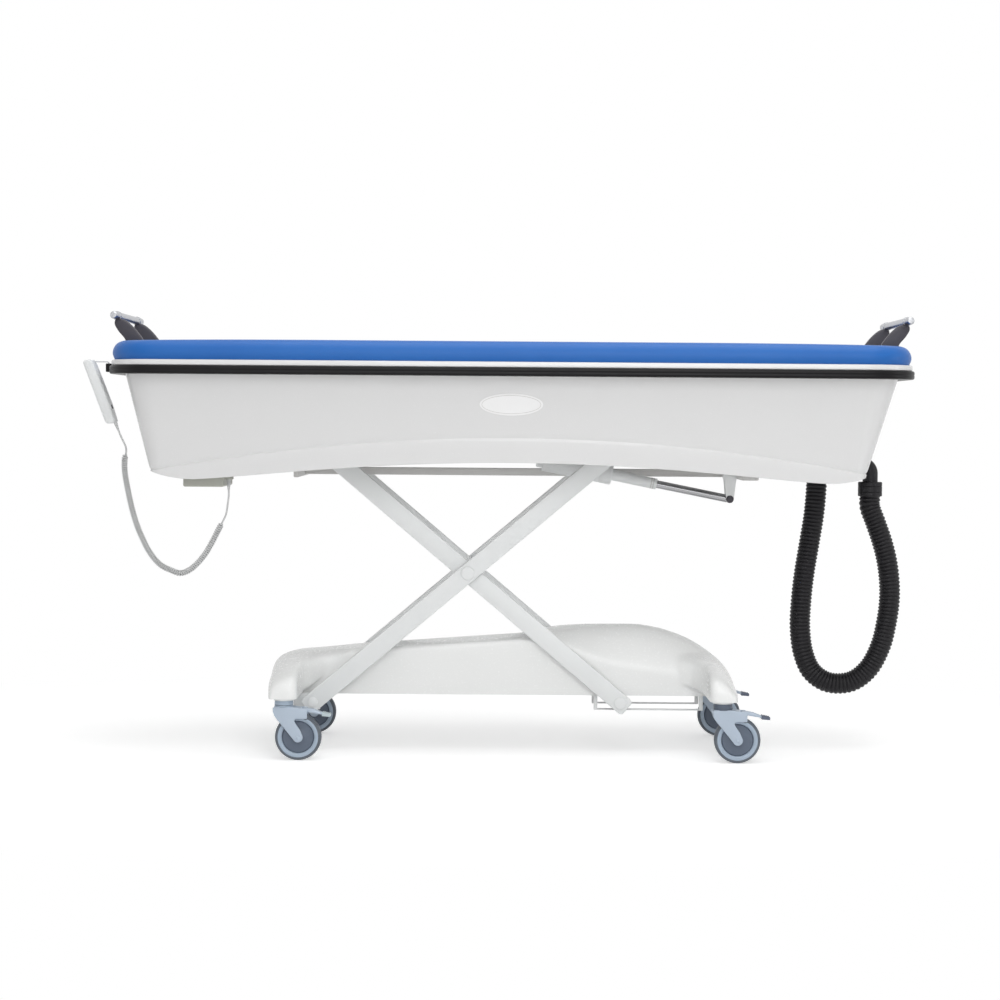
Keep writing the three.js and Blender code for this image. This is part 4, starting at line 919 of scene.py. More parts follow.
def make_handles():
    curved = smooth_line(HANDLE_SHARES, 6)
    for end_name, end in ENDS:
        post = TUB_MIDDLE + end * HANDLE_X
        x, z = post + end * BAR_PLACE[0], ROLL_BASE + BAR_PLACE[1]
        outline = [(post + end * HANDLE_REACH * out, ROLL_BASE + HANDLE_RISE * up) for out, up in curved]
        for side_name, side in SIDES:
            name = side_name + "_" + end_name
            y = side * HANDLE_Y
            arm = plate(name + "_handle_arm", outline, (y - 12, y + 12), 8, 4)
            carved(arm, cross_rod("seat_tool", 10.8, (x, z), (y - 20, y + 20)))
            show(rounded(arm), DARK_MOULDING, "platform", "handle", name + "_handle")
            ring = lathe(name + "_grip_ring", GRIP_RING, at(x, y, z), 40)
            show(ring, SILVER, "platform", "bar")
        grip = lathe(end_name + "_push_bar", BAR_PROFILE, at(x, 0, z), 40)
        show(grip, SILVER, "platform", "bar", end_name + "_handle_bar")


# Scissor arms and their shafts

ARM_HALF = 553
ARM_ANGLE = math.radians(40.2)
ARM_REACH = (ARM_HALF * math.cos(ARM_ANGLE), ARM_HALF * math.sin(ARM_ANGLE))
PIVOT = (-523, 140)
CROSS = (PIVOT[0] + ARM_REACH[0], PIVOT[1] + ARM_REACH[1])
ROLLER = (PIVOT[0] + 2 * ARM_REACH[0], PIVOT[1])
UPPER_Z = PIVOT[1] + 2 * ARM_REACH[1]
BEAM_HALF = 25
BEAM_CORNER = 10
PAIRS = (("outer", 120, ARM_ANGLE), ("inner", 95, -ARM_ANGLE))
BEAM_THICK = 20
TRACK_ROLLER = mirrored([(8.6, 9), (13, 9), (18.5, 8.4), (20, 7)], closed=True)
RAIL_ROLLER = mirrored([(0.0, 9), (18.5, 8.4), (20, 7)])
NECKED_TUBE = mirrored([(0.0, 119.7), (10, 119.7), (10, 30), (7, 29)])


def on_arm(along, slope):
    """A side-view spot on an arm, from the crossing."""
    return CROSS[0] + along * math.cos(slope), CROSS[1] + along * math.sin(slope)


OUTER_TUBE = on_arm(463, ARM_ANGLE)
INNER_TUBE = on_arm(-155, -ARM_ANGLE)


def arm_outline(slope):
    """An arm's side view: a long bar with rounded corners, turned by its slope."""
    x1, z1 = ARM_HALF + BEAM_HALF - BEAM_CORNER, BEAM_HALF - BEAM_CORNER
    c, s = math.cos(slope), math.sin(slope)
    found = []
    for corner, (cx, cz) in enumerate(((x1, z1), (-x1, z1), (-x1, -z1), (x1, -z1))):
        for i in range(9):
            turn = math.radians(90 * corner + 90 * i / 8)
            x, z = cx + BEAM_CORNER * math.cos(turn), cz + BEAM_CORNER * math.sin(turn)
            found.append((CROSS[0] + x * c - z * s, CROSS[1] + x * s + z * c))
    return found


def cap(name, spot, y, radius, thick, finish, body, slot):
    """A domed cap on a shaft's end, its dome away from the middle plane."""
    out = 1 if y > 0 else -1
    profile = [(0.0, 0.0), (radius - 0.4, 0.0), (radius, 0.6), (radius, thick * 0.55),
               (radius - 1.2, thick * 0.85), (radius * 0.7, thick), (radius * 0.35, thick * 1.04),
               (0.0, thick * 1.05)]
    piece = lathe(name, [(r, out * a) for r, a in profile], at(spot[0], y, spot[1]), 48)
    show(piece, finish, body, slot)


def make_arm_side(side_name, side):
    """One side's two arms, its rollers and its caps."""
    for pair, inner, slope in PAIRS:
        ys = (side * inner, side * (inner + BEAM_THICK))
        arm = plate(side_name + "_" + pair + "_beam", arm_outline(slope), ys, 2.6, 3)
        show(arm, WHITE_PAINT, pair + "_arms", "frame_white", side_name + "_" + pair + "_arm")
    stub = cross_rod(side_name + "_roller_stub", 8, ROLLER, (side * 95, side * 59.5), 24)
    show(stub, GREY_PAINT, "inner_arms", "frame_grey")
    roller = lathe(side_name + "_track_roller", TRACK_ROLLER, at(ROLLER[0], side * 71, ROLLER[1]), 48)
    show(roller, DARK_MOULDING, side_name + "_roller", "handle", side_name + "_lower_roller")
    upper = lathe(side_name + "_rail_roller", RAIL_ROLLER, at(ROLLER[0], side * 151.3, UPPER_Z), 48)
    show(upper, DARK_MOULDING, "upper_rollers", "handle")
    for name, spot, out, radius, thick, body in (("_centre_cap", CROSS, 140.3, 18.5, 5, "outer_arms"),
                                                 ("_roller_hub", ROLLER, 114.8, 17, 4.4, "inner_arms"),
                                                 ("_foot_cap", PIVOT, 140.6, 14, 3, "chassis")):
        cap(side_name + name, spot, side * out, radius, thick, WHITE_PAINT, body, "frame_white")


def make_arms():
    for side_name, side in SIDES:
        make_arm_side(side_name, side)
    centre = cross_rod("centre_pin", 10, CROSS, (-145, 145), 32, 0.6)
    show(centre, WHITE_PAINT, "outer_arms", "frame_white", "centre_shaft")
    low = cross_rod("lower_pin", 10, PIVOT, (-143, 143), 32, 0.6)
    show(low, GREY_PAINT, "chassis", "frame_grey", "lower_pivot_shaft")
    top = cross_rod("upper_pin", 10, (PIVOT[0], UPPER_Z), (-164.3, 164.3), 32, 0.6)
    show(top, GREY_PAINT, "platform", "frame_grey", "upper_pivot_shaft")
    axle = cross_rod("upper_axle", 8, (ROLLER[0], UPPER_Z), (-145, 145), 24, 0.5)
    show(axle, GREY_PAINT, "upper_rollers", "handle", "upper_roller_axle")
    brace = cross_rod("inner_brace", 13, INNER_TUBE, (-94.7, 94.7))
    show(brace, WHITE_PAINT, "inner_arms", "frame_white", "inner_cross_tube")
    neck = lathe("outer_brace", NECKED_TUBE, at(OUTER_TUBE[0], 0, OUTER_TUBE[1]), 32)
    show(neck, WHITE_PAINT, "outer_arms", "frame_white", "outer_cross_tube")


# Platform frame, seen under the tub and from below

BEAM_LEFT = -562
BEAM_RIGHT = 645
FRAME_LOW = 757
FRAME_TOP = DECK_BOTTOM - GAP
RAIL_IN = 142
RAIL_OUT = 164.4
RAIL_WALL = 4
ROLLER_ROOM = 20.3


def make_platform_frame():
    for name, xs in (("left", (BEAM_LEFT - 14, BEAM_LEFT)), ("right", (BEAM_RIGHT, BEAM_RIGHT + 45))):
        beam = brick(name + "_beam", xs, (-RAIL_OUT, RAIL_OUT), (FRAME_LOW, FRAME_TOP), 2.5)
        show(beam, GREY_PAINT, "platform", "frame_grey", name + "_end_beam")
    between = (BEAM_LEFT + GAP, BEAM_RIGHT - GAP)
    tie = brick("tie_tube", between, (45, 75), (761, 782), 2.5, 3)
    show(tie, GREY_PAINT, "platform", "frame_grey", "tie_bar")
    low, high = UPPER_Z - ROLLER_ROOM, UPPER_Z + ROLLER_ROOM
    web = RAIL_OUT - RAIL_WALL
    section = [(RAIL_IN, low - RAIL_WALL), (RAIL_OUT, low - RAIL_WALL), (RAIL_OUT, FRAME_TOP),
               (RAIL_IN, FRAME_TOP), (RAIL_IN, high), (web, high), (web, low), (RAIL_IN, low)]
    for side_name, side in SIDES:
        rail = loft(side_name + "_rail", [[at(x, side * y, z) for y, z in section] for x in between])
        carved(rail, cross_rod("shaft_tool", 10.2, (PIVOT[0], UPPER_Z), (side * 135, side * 170)))
        show(rounded(rail, 1.0), GREY_PAINT, "platform", "frame_grey", side_name + "_guide_rail")


# Lift actuator: its rod hangs from the bracket's pin, and its barrel's lug holds the arms' upper cross tube

RAM_PIN = (627, 701)
RAM_SLOPE = math.radians(11.1907)
TUBE_DOWN = -20.4  # the cross tube lies this far above the ram's axis
TUBE_ALONG = math.sqrt(math.dist(RAM_PIN, OUTER_TUBE) ** 2 - TUBE_DOWN ** 2)
MOTOR_START = TUBE_ALONG - 50
MOTOR_END = TUBE_ALONG + 146
ROD_PROFILE = [(0.0, 0.5), (8, 0.5), (11, 6), (11, 212.5), (10.4, 213), (6, 213), (6, 299.5), (0.0, 300)]
SLEEVE_PROFILE = [(11.6, 208), (14.4, 208), (15, 208.8), (15, MOTOR_START - 2), (15, MOTOR_START)]
MOTOR_PROFILE = [(26, MOTOR_START), (28, MOTOR_START + 2.5), (28, MOTOR_START + 34), (27.4, MOTOR_START + 35),
                 (28, MOTOR_START + 36), (28, MOTOR_END - 3), (26.5, MOTOR_END - 0.6), (20, MOTOR_END),
                 (20, MOTOR_END + 15), (18, MOTOR_END + 17.6), (0.0, MOTOR_END + 18)]
BORE_PROFILE = [(0.0, 470), (6.6, 470), (6.6, 366), (11.6, 366), (11.6, 208)]
BAND_PROFILE = [(15.05, 0), (15.6, 0.4), (15.6, 2.6), (15.05, 3)]
BRACKET = (609, BEAM_RIGHT - GAP)
BRACKET_TOP = 784
EYE_RADIUS = 10.5
CHEEK_OUT = 18


def along_ram(along, down=0.0):
    """A place on the ram: away from its pin, and below its axis."""
    x = RAM_PIN[0] - along * math.cos(RAM_SLOPE) - down * math.sin(RAM_SLOPE)
    z = RAM_PIN[1] + along * math.sin(RAM_SLOPE) - down * math.cos(RAM_SLOPE)
    return at(x, 0, z)


def ram_lathe(name, profile, steps=48):
    """A profile of radius and distance from the pin, spun round the ram's axis."""
    piece = lathe(name, profile, Vector((0, 0, 0)), steps, UPWARD)
    turn = Matrix.Rotation(-math.pi / 2 + RAM_SLOPE, 4, "Y")
    piece.matrix_world = Matrix.Translation(along_ram(0)) @ turn
    return settle(piece)


def ram_block(name, reach, low, high, half, bevel=0.0):
    """A block round the cross tube, square to the ram."""
    a, b = TUBE_ALONG - reach, TUBE_ALONG + reach
    corners = [along_ram(a, low), along_ram(b, low), along_ram(b, high), along_ram(a, high)]
    return plate(name, side_view(corners), (-half, half), bevel)


def make_ram():
    rod = ram_lathe("bright_rod", ROD_PROFILE)
    fused(rod, cross_rod("rod_eye", 11, RAM_PIN, (-9, 9), 32, 0.8))
    carved(rod, cross_rod("pin_tool", 6.4, RAM_PIN, (-20, 20)))
    show(rounded(rod), CHROME, "ram_rod", "rod", "actuator_rod")
    barrel = ram_lathe("lift_barrel", SLEEVE_PROFILE + MOTOR_PROFILE + BORE_PROFILE)
    fused(barrel, ram_block("barrel_lug", 24, TUBE_DOWN - 20, -18, 18, 1.5))
    carved(barrel, ram_block("slot_tool", 17, TUBE_DOWN - 13, TUBE_DOWN + 13, 40))
    show(rounded(barrel), PALE_CONTROL, "ram_barrel", "control", "actuator_barrel")
    for along in (216, 222):
        band = ram_lathe("sleeve_band_%d" % along, [(radius, along + a) for radius, a in BAND_PROFILE], 40)
        show(band, GREY_PAINT, "ram_barrel", "control")


def make_bracket():
    x, z = RAM_PIN
    left, right = BRACKET
    cheek = [(left, BRACKET_TOP), (x - EYE_RADIUS, z)]
    for i in range(1, 12):
        turn = math.pi + math.pi * i / 12
        cheek.append((x + EYE_RADIUS * math.cos(turn), z + EYE_RADIUS * math.sin(turn)))
    cheek += [(x + EYE_RADIUS, z), (right, FRAME_LOW), (right, BRACKET_TOP)]
    block = brick("bracket_block", BRACKET, (-CHEEK_OUT, CHEEK_OUT), (FRAME_LOW, BRACKET_TOP), 1.5)
    for _, side in SIDES:
        fused(block, plate("cheek", cheek, (side * 13, side * CHEEK_OUT)))
    show(rounded(block, 0.8), WHITE_PAINT, "platform", "frame_white", "actuator_bracket")
    pin = cross_rod("bracket_pin", 6, RAM_PIN, (-18.2, 18.2), 28)
    show(pin, GREY_PAINT, "platform", "frame_grey")
    for side_name, side in SIDES:
        name = "bracket_cap_" + side_name
        cap(name, RAM_PIN, side * 17.8, EYE_RADIUS, 3.2, DARK_MOULDING, "platform", "handle")


# Base cover: a keel with a hump, a wing at each end, made one skin and then hollowed

KEEL_STATIONS = [
    (-0.995, 0.61, 0.63), (-0.965, 0.71, 0.72), (-0.89, 0.745, 0.77), (-0.784, 0.768, 0.788),
    (-0.625, 0.795, 0.819), (-0.384, 0.831, 0.851), (-0.065, 0.874, 0.894), (0.093, 0.891, 0.92),
    (0.2, 0.877, 0.974), (0.293, 0.831, 0.994), (0.446, 0.727, 1.003), (0.591, 0.68, 1.0),
    (0.696, 0.655, 0.96), (0.8, 0.642, 0.885), (0.906, 0.63, 0.755), (0.958, 0.6, 0.655), (0.99, 0.5, 0.545),
]  # place along, height of the sides, height of the crest
CREST_SHARES = (1.0, 0.985, 0.96, 0.9, 0.82, 0.7, 0.55, 0.38, 0.2, 0.0)
HUMP_TOP = 349
COVER_END = 648
COVER_LOW = 120
KEEL_HALF = 88
KEEL_EDGE = 6
WING_STATIONS = [(1.0, 0.555), (0.985, 0.6), (0.95, 0.64), (0.86, 0.68), (0.6, 0.725), (0.3, 0.755)]
WING_HALF = 294
WING_INNER = 554
WING_BOW = 20
WING_LIP = 17
WING_CORNER = 18
FILLET_DEPTH = 72
FILLET_WIDTH = 130
FLANK_END = 523
FLANK_LOW = 182
FLANK_RISE = {-1: 0.923, 1: 0.36}
SHOULDER_REACH = {-1: 60, 1: 88}
SHOULDERS = {-1: [(0, 1.0), (0, 0.75), (0.1, 0.46), (0.35, 0.21), (0.7, 0.05), (1, 0)],
             1: [(0, 1.0), (0.03, 0.92), (0.11, 0.76), (0.23, 0.56), (0.42, 0.33), (0.64, 0.15), (0.82, 0.05),
                 (1, 0)]}
WING_CUT = 166
KEEL_CUT = 158
COVER_WALL = 3.5


def quarter(share):
    """How far a quarter circle has turned away at a share of its radius."""
    return 1 - math.sqrt(1 - share ** 2)


def make_keel():
    rings = []
    for along, side, crest in smooth_line(KEEL_STATIONS, 7):
        top = side * HUMP_TOP
        peak = max(crest * HUMP_TOP, top + 1)
        swell = 0.5 + 0.62 * clamped((along - 0.1) / 0.25)
        half = [(KEEL_HALF, z) for z in (COVER_LOW, 160, 200, top - 10, top - KEEL_EDGE)]
        for share in CREST_SHARES:
            dip = KEEL_EDGE * (1 - min((1 - share) * 14, 1)) ** 2
            half.append((KEEL_HALF * min(share, 0.996), top - dip + (peak - top) * (1 - share ** 2) ** swell))
        full = half + [(-y, z) for y, z in reversed(half[:-1])]
        rings.append([at(along * COVER_END, y, z) for y, z in full])
    return loft("base_moulding", rings)


def wing_ring(end, share, height):
    """One side view of a wing: outer face, shoulder, top, rounded lip and the hollow towards the keel."""
    y, top = share * WING_HALF, height * HUMP_TOP
    outer = COVER_END - WING_BOW * share ** 2
    fillet = quarter(1 - clamped((abs(y) - KEEL_HALF) / FILLET_WIDTH))
    corner = quarter(clamped((abs(y) - 276) / 18.2))
    inner = WING_INNER - FILLET_DEPTH * fillet + WING_CORNER * corner
    low = FLANK_LOW + FLANK_RISE[end] * max(FLANK_END - inner, 0)
    reach = min(SHOULDER_REACH[end], outer - inner - WING_CORNER)
    ring = [(outer, COVER_LOW)]
    for inward, down in smooth_line(SHOULDERS[end], 4)[4:]:
        ring.append((outer - reach * inward, top - (top - WING_CUT) * down))
    for k in range(7):
        turn = math.pi / 2 * k / 6
        ring.append((inner + WING_LIP * (1 - math.sin(turn)), top - WING_LIP * (1 - math.cos(turn))))
    foot = max(inner, WING_INNER)
    ring += [(inner, low), (foot, WING_CUT + 2), (foot, COVER_LOW)]
    return [at(end * x, y, z) for x, z in ring]


def make_wing(end):
    line = smooth_line(WING_STATIONS, 6)
    line += [(-share, height) for share, height in reversed(line)]
    return loft("wing", [wing_ring(end, share, height) for share, height in line])


def soften(cover):
    """Makes the joined shapes one skin and eases its creases, most of all beside the keel."""
    pick(cover)
    cover.data.remesh_voxel_size = 0.005
    cover.data.remesh_voxel_adaptivity = 0
    bpy.ops.object.voxel_remesh()
    modified(cover, "SMOOTH", factor=0.5, iterations=16)
    flank = cover.vertex_groups.new(name="flank")
    for corner in cover.data.vertices:
        x, y, z = abs(corner.co.x / MM - SHIFT), abs(corner.co.y) / MM, corner.co.z / MM
        beside = 1 - clamped((abs(y - 104) - 26) / 44)
        over = 1 - clamped((450 - x) / 60)
        if beside * over > 0 and z > 190 + FLANK_RISE[-1] * max(FLANK_END - x, 0):
            flank.add([corner.index], beside * over, "REPLACE")
    modified(cover, "SMOOTH", factor=0.5, iterations=120, vertex_group=flank.name)


def open_below(cover):
    """Cuts the cover level below, takes its underside away and gives what is left a wall."""
    carved(cover, brick("cut_low", (-700, 700), (-320, 320), (100, KEEL_CUT), 0))
    for _, side in SIDES:
        beside = (side * (KEEL_HALF + 0.6), side * 330)
        carved(cover, brick("cut_wing", (-700, 700), beside, (101, WING_CUT), 0))
    edit(cover)
    bpy.ops.mesh.select_all(action="DESELECT")
    leave()
    for face in cover.data.polygons:
        face.select = face.center.z < (WING_CUT + 0.1) * MM and face.normal.z < -0.9
    bpy.ops.object.mode_set(mode="EDIT")
    bpy.ops.mesh.delete(type="FACE")
    leave()
    modified(cover, "SOLIDIFY", thickness=COVER_WALL * MM, offset=-1)


def make_cover():
    cover = make_keel()
    for _, end in ENDS:
        fused(cover, make_wing(end))
    soften(cover)
    open_below(cover)
    show(rounded(cover), WHITE_COVER, "chassis", "cover", "base_cover")


# Base frame and battery

CASTOR_X = 590
CASTOR_Y = 260
PIVOT_LUG = [(-578, 117), (-505, 117), (-505, 162.7), (-562, 162.7), (-562, 166), (-578, 166)]


def make_base_side(side_name, side):
    """One side's long rail, with the lower roller's track under it and its seats on the cover."""
    rail = brick(side_name + "_rail_tube", (-561.7, 561.7), (side * 38, side * 78), (176, 214), 3, 3)
    show(rail, GREY_PAINT, "chassis", "frame_grey", side_name + "_base_rail")
    track_ys = (side * 62, side * 80)
    track = brick(side_name + "_track", (250, 552), track_ys, (116.7, 119.7), 0.8)
    show(track, WHITE_PAINT, "chassis", "frame_white")
    for x in (250, 542):
        post = brick(side_name + "_post_%d" % x, (x, x + 10), track_ys, (119, 176.5))
        show(post, WHITE_PAINT, "chassis", "frame_white")
    for x in (-400, 100):
        seat = brick(side_name + "_seat_%d" % abs(x), (x, x + 20), (side * 77.5, side * 84.2), (185, 205))
        show(seat, GREY_PAINT, "chassis", "frame_grey")


def make_member(end_name, end):
    """One end's cross member, with a castor's socket at each side, and the arms' pivot lugs at the left."""
    x = end * CASTOR_X
    beam = brick(end_name + "_member", (x - 28, x + 28), (-CASTOR_Y, CASTOR_Y), (163, 198), 3, 3)
    for _, side in SIDES:
        fused(beam, upright_rod("socket", 28, x, side * CASTOR_Y, (160.5, 186), 48, 1.2))
        carved(beam, upright_rod("stem_tool", 8.6, x, side * CASTOR_Y, (150, 181.3)))
        if end_name == "left":
            fused(beam, plate("pivot_lug", PIVOT_LUG, (side * 104, side * 117), 2))
    show(rounded(beam), WHITE_PAINT, "chassis", "frame_white", end_name + "_cross_member")


def make_base_frame():
    for side_name, side in SIDES:
        make_base_side(side_name, side)
    for end_name, end in ENDS:
        make_member(end_name, end)
    pack = brick("battery_case", (205, 430), (-55, 55), (214.3, 284), 6, 3)
    show(pack, DARK_MOULDING, "chassis", "battery", "battery_pack")
    for side_name, side in SIDES:
        strap = brick("battery_strap_" + side_name, (200, 435), (side * 30, side * 46), (214.1, 286), 3)
        show(strap, BLACK_BUMPER, "chassis", "bumper")


# Castors, all trailing towards the drain end

TRAIL = 39
AXLE_Z = 62.5
FORK_INNER = 17.8
FORK_OUTER = 22.8
FORK_BACK = [(-25, 144), (-28.5, 141), (-28, 132), (-24.5, 121), (-17, 110), (-9, 101)]
FORK_FRONT = [(44, 84), (33, 100), (29.5, 107), (31.5, 111.5), (37, 113), (62, 112.5), (64, 114.5), (64, 138),
              (62, 140.5), (46, 141), (30, 143), (25, 144)]
FORK_EYE = 13.4
HOOD = [(-24, 128), (-27, 134), (-27, 140), (-23, 144), (25, 144), (46.5, 140.6), (46.5, 128)]
LATCH = [(47, 127), (47, 114), (58, 109), (66, 109), (66, 120)]
COLLAR = [(0.0, 143), (24.4, 143), (25.2, 144), (25.2, 147.4), (24.2, 148), (24.2, 149), (25.2, 149.6),
          (25.2, 156), (24.2, 156.6), (24.2, 157.6), (24.8, 158.2), (24.4, 160), (8, 160), (8, 180.6),
          (7, 181), (0.0, 181)]
SEAL = [(24.3, 148), (24.7, 148.2), (24.7, 148.8), (24.3, 149)]
BOLT = [(0.0, 1.6), (3.2, 1.5), (4.6, 0.9), (5.2, -0.2), (0.0, -0.2)]
TYRE = mirrored([(54, 14.6), (56.5, 15.6), (59, 15.4), (61, 13), (62.1, 9), (62.5, 4)], closed=True)
WHEEL_RING = mirrored([(43.2, 9.2), (44.2, 12.4), (46, 13.6), (50, 14.4), (54, 14.9), (55.2, 14.6),
                       (55.6, 13)], closed=True)
WHEEL_DISC = mirrored([(6.1, 16), (11, 16), (12.6, 15.4), (13.6, 13.6), (17, 12.4), (26, 11.2), (36, 10.6),
                       (40.4, 10.8), (41.6, 9.8), (42, 8), (43.4, 8)], closed=True)
PEDAL_X = 56
PEDAL_Z = 136
PEDAL_LENGTH = 70


def moved(outline, x):
    return [(x + px, pz) for px, pz in outline]


def fork_outline():
    """One leg of a fork in side view: the hood's side, the arm to the pedal, and the leg down to the axle."""
    eye = []
    for i in range(13):
        turn = math.radians(204 + (386 - 204) * i / 12)
        eye.append((TRAIL + FORK_EYE * math.cos(turn), AXLE_Z + FORK_EYE * math.sin(turn)))
    return FORK_BACK + eye + FORK_FRONT


def make_fork(name, x, y, collar_finish):
    body = name + "_castor"
    axle_x = x + TRAIL
    legs = []
    for y0, y1 in ((-FORK_OUTER, -FORK_INNER), (FORK_INNER, FORK_OUTER)):
        legs.append(plate("leg", moved(fork_outline(), x), (y + y0, y + y1), 1.4, 3, 40))
    top = plate("hood", moved(HOOD, x), (y - FORK_INNER - 0.5, y + FORK_INNER + 0.5), 0.8)
    fork = combined(name + "_hood", *legs, top)
    show(rounded(fork), CASTOR_BLUE, body, "castor", name + "_fork")
    collar = lathe(name + "_collar", COLLAR, at(x, y, 0), 56, UPWARD)
    show(collar, collar_finish, body, "castor")
    seal = lathe(name + "_seal", SEAL, at(x, y, 0), 56, UPWARD)
    show(seal, CASTOR_TYRE, body, "castor")
    for side_name, side in SIDES:
        place = at(axle_x, y + side * (FORK_OUTER + 0.1), AXLE_Z)
        bolt = lathe(name + "_bolt_" + side_name, [(radius, side * out) for radius, out in BOLT], place, 32)
        show(bolt, CASTOR_BLUE, body, "castor")
    axle = cross_rod(name + "_axle", 5.5, (axle_x, AXLE_Z), (y - 22, y + 22), 24)
    show(axle, GREY_PAINT, body, "castor")
    latch = plate(name + "_latch", moved(LATCH, x), (y - 15, y + 15), 1.4)
    show(latch, CASTOR_TYRE, body, "castor")


def make_wheel(name, x, y):
    wheel = name + "_wheel"
    centre = at(x + TRAIL, y, AXLE_Z)
    show(lathe(name + "_tyre", TYRE, centre, 72), CASTOR_TYRE, wheel, "wheel", wheel)
    show(lathe(name + "_ring", WHEEL_RING, centre, 72), CASTOR_RING, wheel, "wheel")
    show(lathe(name + "_disc", WHEEL_DISC, centre, 72), CASTOR_DISC, wheel, "wheel")


def make_pedal(name, x, y, tip_finish):
    pivot = x + PEDAL_X
    low = PEDAL_Z - 4.5
    x0, x1 = pivot - 4.5, pivot + PEDAL_LENGTH
    outline = [(x0, low + 1), (x0 + 2, low), (x1 - 22, low - 8.4), (x1 - 21, low - 4), (x0 + 30, low + 5),
               (x0 + 10, low + 8.8), (x0 + 2, low + 8.8), (x0, low + 7)]
    lever = plate(name + "_lever", outline, (y - 13, y + 13), 1.5, 2, 40)
    carved(lever, cross_rod("pivot_tool", 3.4, (pivot, PEDAL_Z), (y - 20, y + 20)))
    show(rounded(lever), CASTOR_BLUE, name + "_pedal", "pedal", name + "_pedal")
    tip = [(x1 - 23, low - 12), (x1 - 2, low - 13.4), (x1, low - 12), (x1, low - 7)]
    for i in range(5):
        edge = x1 - 2 - 4.2 * i
        top = low - 5.6 + i * 0.9
        tip += [(edge, top), (edge - 2, top + 0.4), (edge - 2.2, top - 1), (edge - 4, top - 0.8)]
    tip.append((x1 - 23, low - 3))
    shoe = plate(name + "_tip", tip, (y - 15.5, y + 15.5), 0.8, 2, 50)
    show(shoe, tip_finish, name + "_pedal", "pedal")


def make_castors():
    """Those at the left have pale collars and pale pedal tips."""
    finishes = {"left": (CASTOR_RING, PALE_TIP), "right": (CASTOR_DISC, PEDAL_TIP)}
    for side_name, side in SIDES:
        for end_name, end in ENDS:
            name = side_name + "_" + end_name
            x, y = end * CASTOR_X, side * CASTOR_Y
            collar_finish, tip_finish = finishes[end_name]
            make_fork(name, x, y, collar_finish)
            make_wheel(name, x, y)
            make_pedal(name, x, y, tip_finish)


# Drain

BEND_RADIUS = 24
BEND_Z = 824
OUTLET_X = 1020
HOLDER_X = 870
CUFF = [(21.6, 752), (31.5, 752), (33.5, 750), (33.5, 741), (32.6, 740), (33.5, 739), (33.5, 725),
        (32.6, 724), (33.5, 723), (33.5, 714), (32, 712), (28.6, 712), (28.6, 740), (21.6, 740), (21.6, 752)]
PLUG = [(0.0, 820), (17, 820), (19, 822), (19, 860.3), (28.5, 860.3), (30, 861.5), (30, 865), (29, 866),
        (12, 866), (12, 886.7), (24, 886.7), (25, 887.5), (25, FRAME_TOP), (0.0, FRAME_TOP)]


def make_drain():
    turns = [math.pi / 2 * k / 8 for k in range(9)]
    path = [(DRAIN_X, 889.5), (DRAIN_X, 870), (DRAIN_X, 845), (DRAIN_X, BEND_Z)]
    for turn in turns[1:]:
        path.append((DRAIN_X + BEND_RADIUS * (1 - math.cos(turn)), BEND_Z - BEND_RADIUS * math.sin(turn)))
    for turn in turns:
        path.append((OUTLET_X - BEND_RADIUS + BEND_RADIUS * math.sin(turn),
                     BEND_Z - BEND_RADIUS - BEND_RADIUS * (1 - math.cos(turn))))
    path += [(OUTLET_X, 760), (OUTLET_X, 740.3)]
    line = [at(x, 0, z) for x, z in path]
    bend = tube("drain_bend", line, lambda i: 21, 32)
    fused(bend, upright_rod("union_disc", 35, DRAIN_X, 0, (883.7, FRAME_TOP), 48, 1))
    line[0] = at(DRAIN_X, 0, 895)
    line[-1] = at(OUTLET_X, 0, 735)
    carved(bend, tube("bore_tool", line, lambda i: 18, 24))
    show(rounded(bend), BLACK_HOSE, "platform", "hose", "drain_elbow")
    cuff = lathe("hose_collar", CUFF, at(OUTLET_X, 0, 0), 56, UPWARD)
    show(cuff, BLACK_HOSE, "platform", "hose", "hose_cuff")
    holder = lathe("hose_plug", PLUG, at(HOLDER_X, 0, 0), 48, UPWARD)
    show(holder, BLACK_HOSE, "platform", "hose", "hose_holder")


# Control box, handset and its hook on the bumper

BOX = [(-861, 732), (-759, 732), (-756, 735), (-756, FRAME_TOP), (-864, FRAME_TOP), (-864, 735)]
SEAM = [(-865.2, 790), (-754.8, 790), (-754.8, 787), (-865.2, 787)]
GLAND = [(0.0, 751.7), (6, 751.7), (6, 746), (5.2, 745.2), (5.4, 741), (4.8, 740.4), (4.9, 736), (4.1, 735.4),
         (4.2, 731), (3.4, 730.4), (3.3, 724), (2.7, 723.7), (2.55, 723.7), (2.55, 730), (0.0, 730)]
HANDSET = [(0.0, 0.04), (0.1, 0.0), (0.78, 0.02), (0.85, 0.1), (0.88, 0.4), (0.9, 0.74), (0.84, 0.9),
           (0.8, 1.0), (0.4, 0.99), (0.04, 0.97), (0.0, 0.92)]  # shares of its depth and its length
HANDSET_HALF = 30
KEYS = (("up", 0.3), ("down", 0.48))
KEY_HALF = 8.8
POCKET_HALF = 9.4
CLIP = [(20, 137), (28.4, 135), (28.4, 146), (21, 149)]
HOOK_WIRE = ((7.5, -5), (8, 1.5), (11, 4.2), (15, 4.5))


def handset_plate(name, spots, half, *edges):
    """An outline on the hand control, as wide to both sides of its middle."""
    outline = side_view([handset_point(deep, down) for deep, down in spots])
    return plate(name, outline, (CONTROL_Y - half, CONTROL_Y + half), *edges)


def key_spots(share, half, low, high):
    """The corners of a square on the handset's outer face, from low to high in depth."""
    down = HANDSET_LENGTH * share
    return [(low, down - half), (high, down - half), (high, down + half), (low, down + half)]


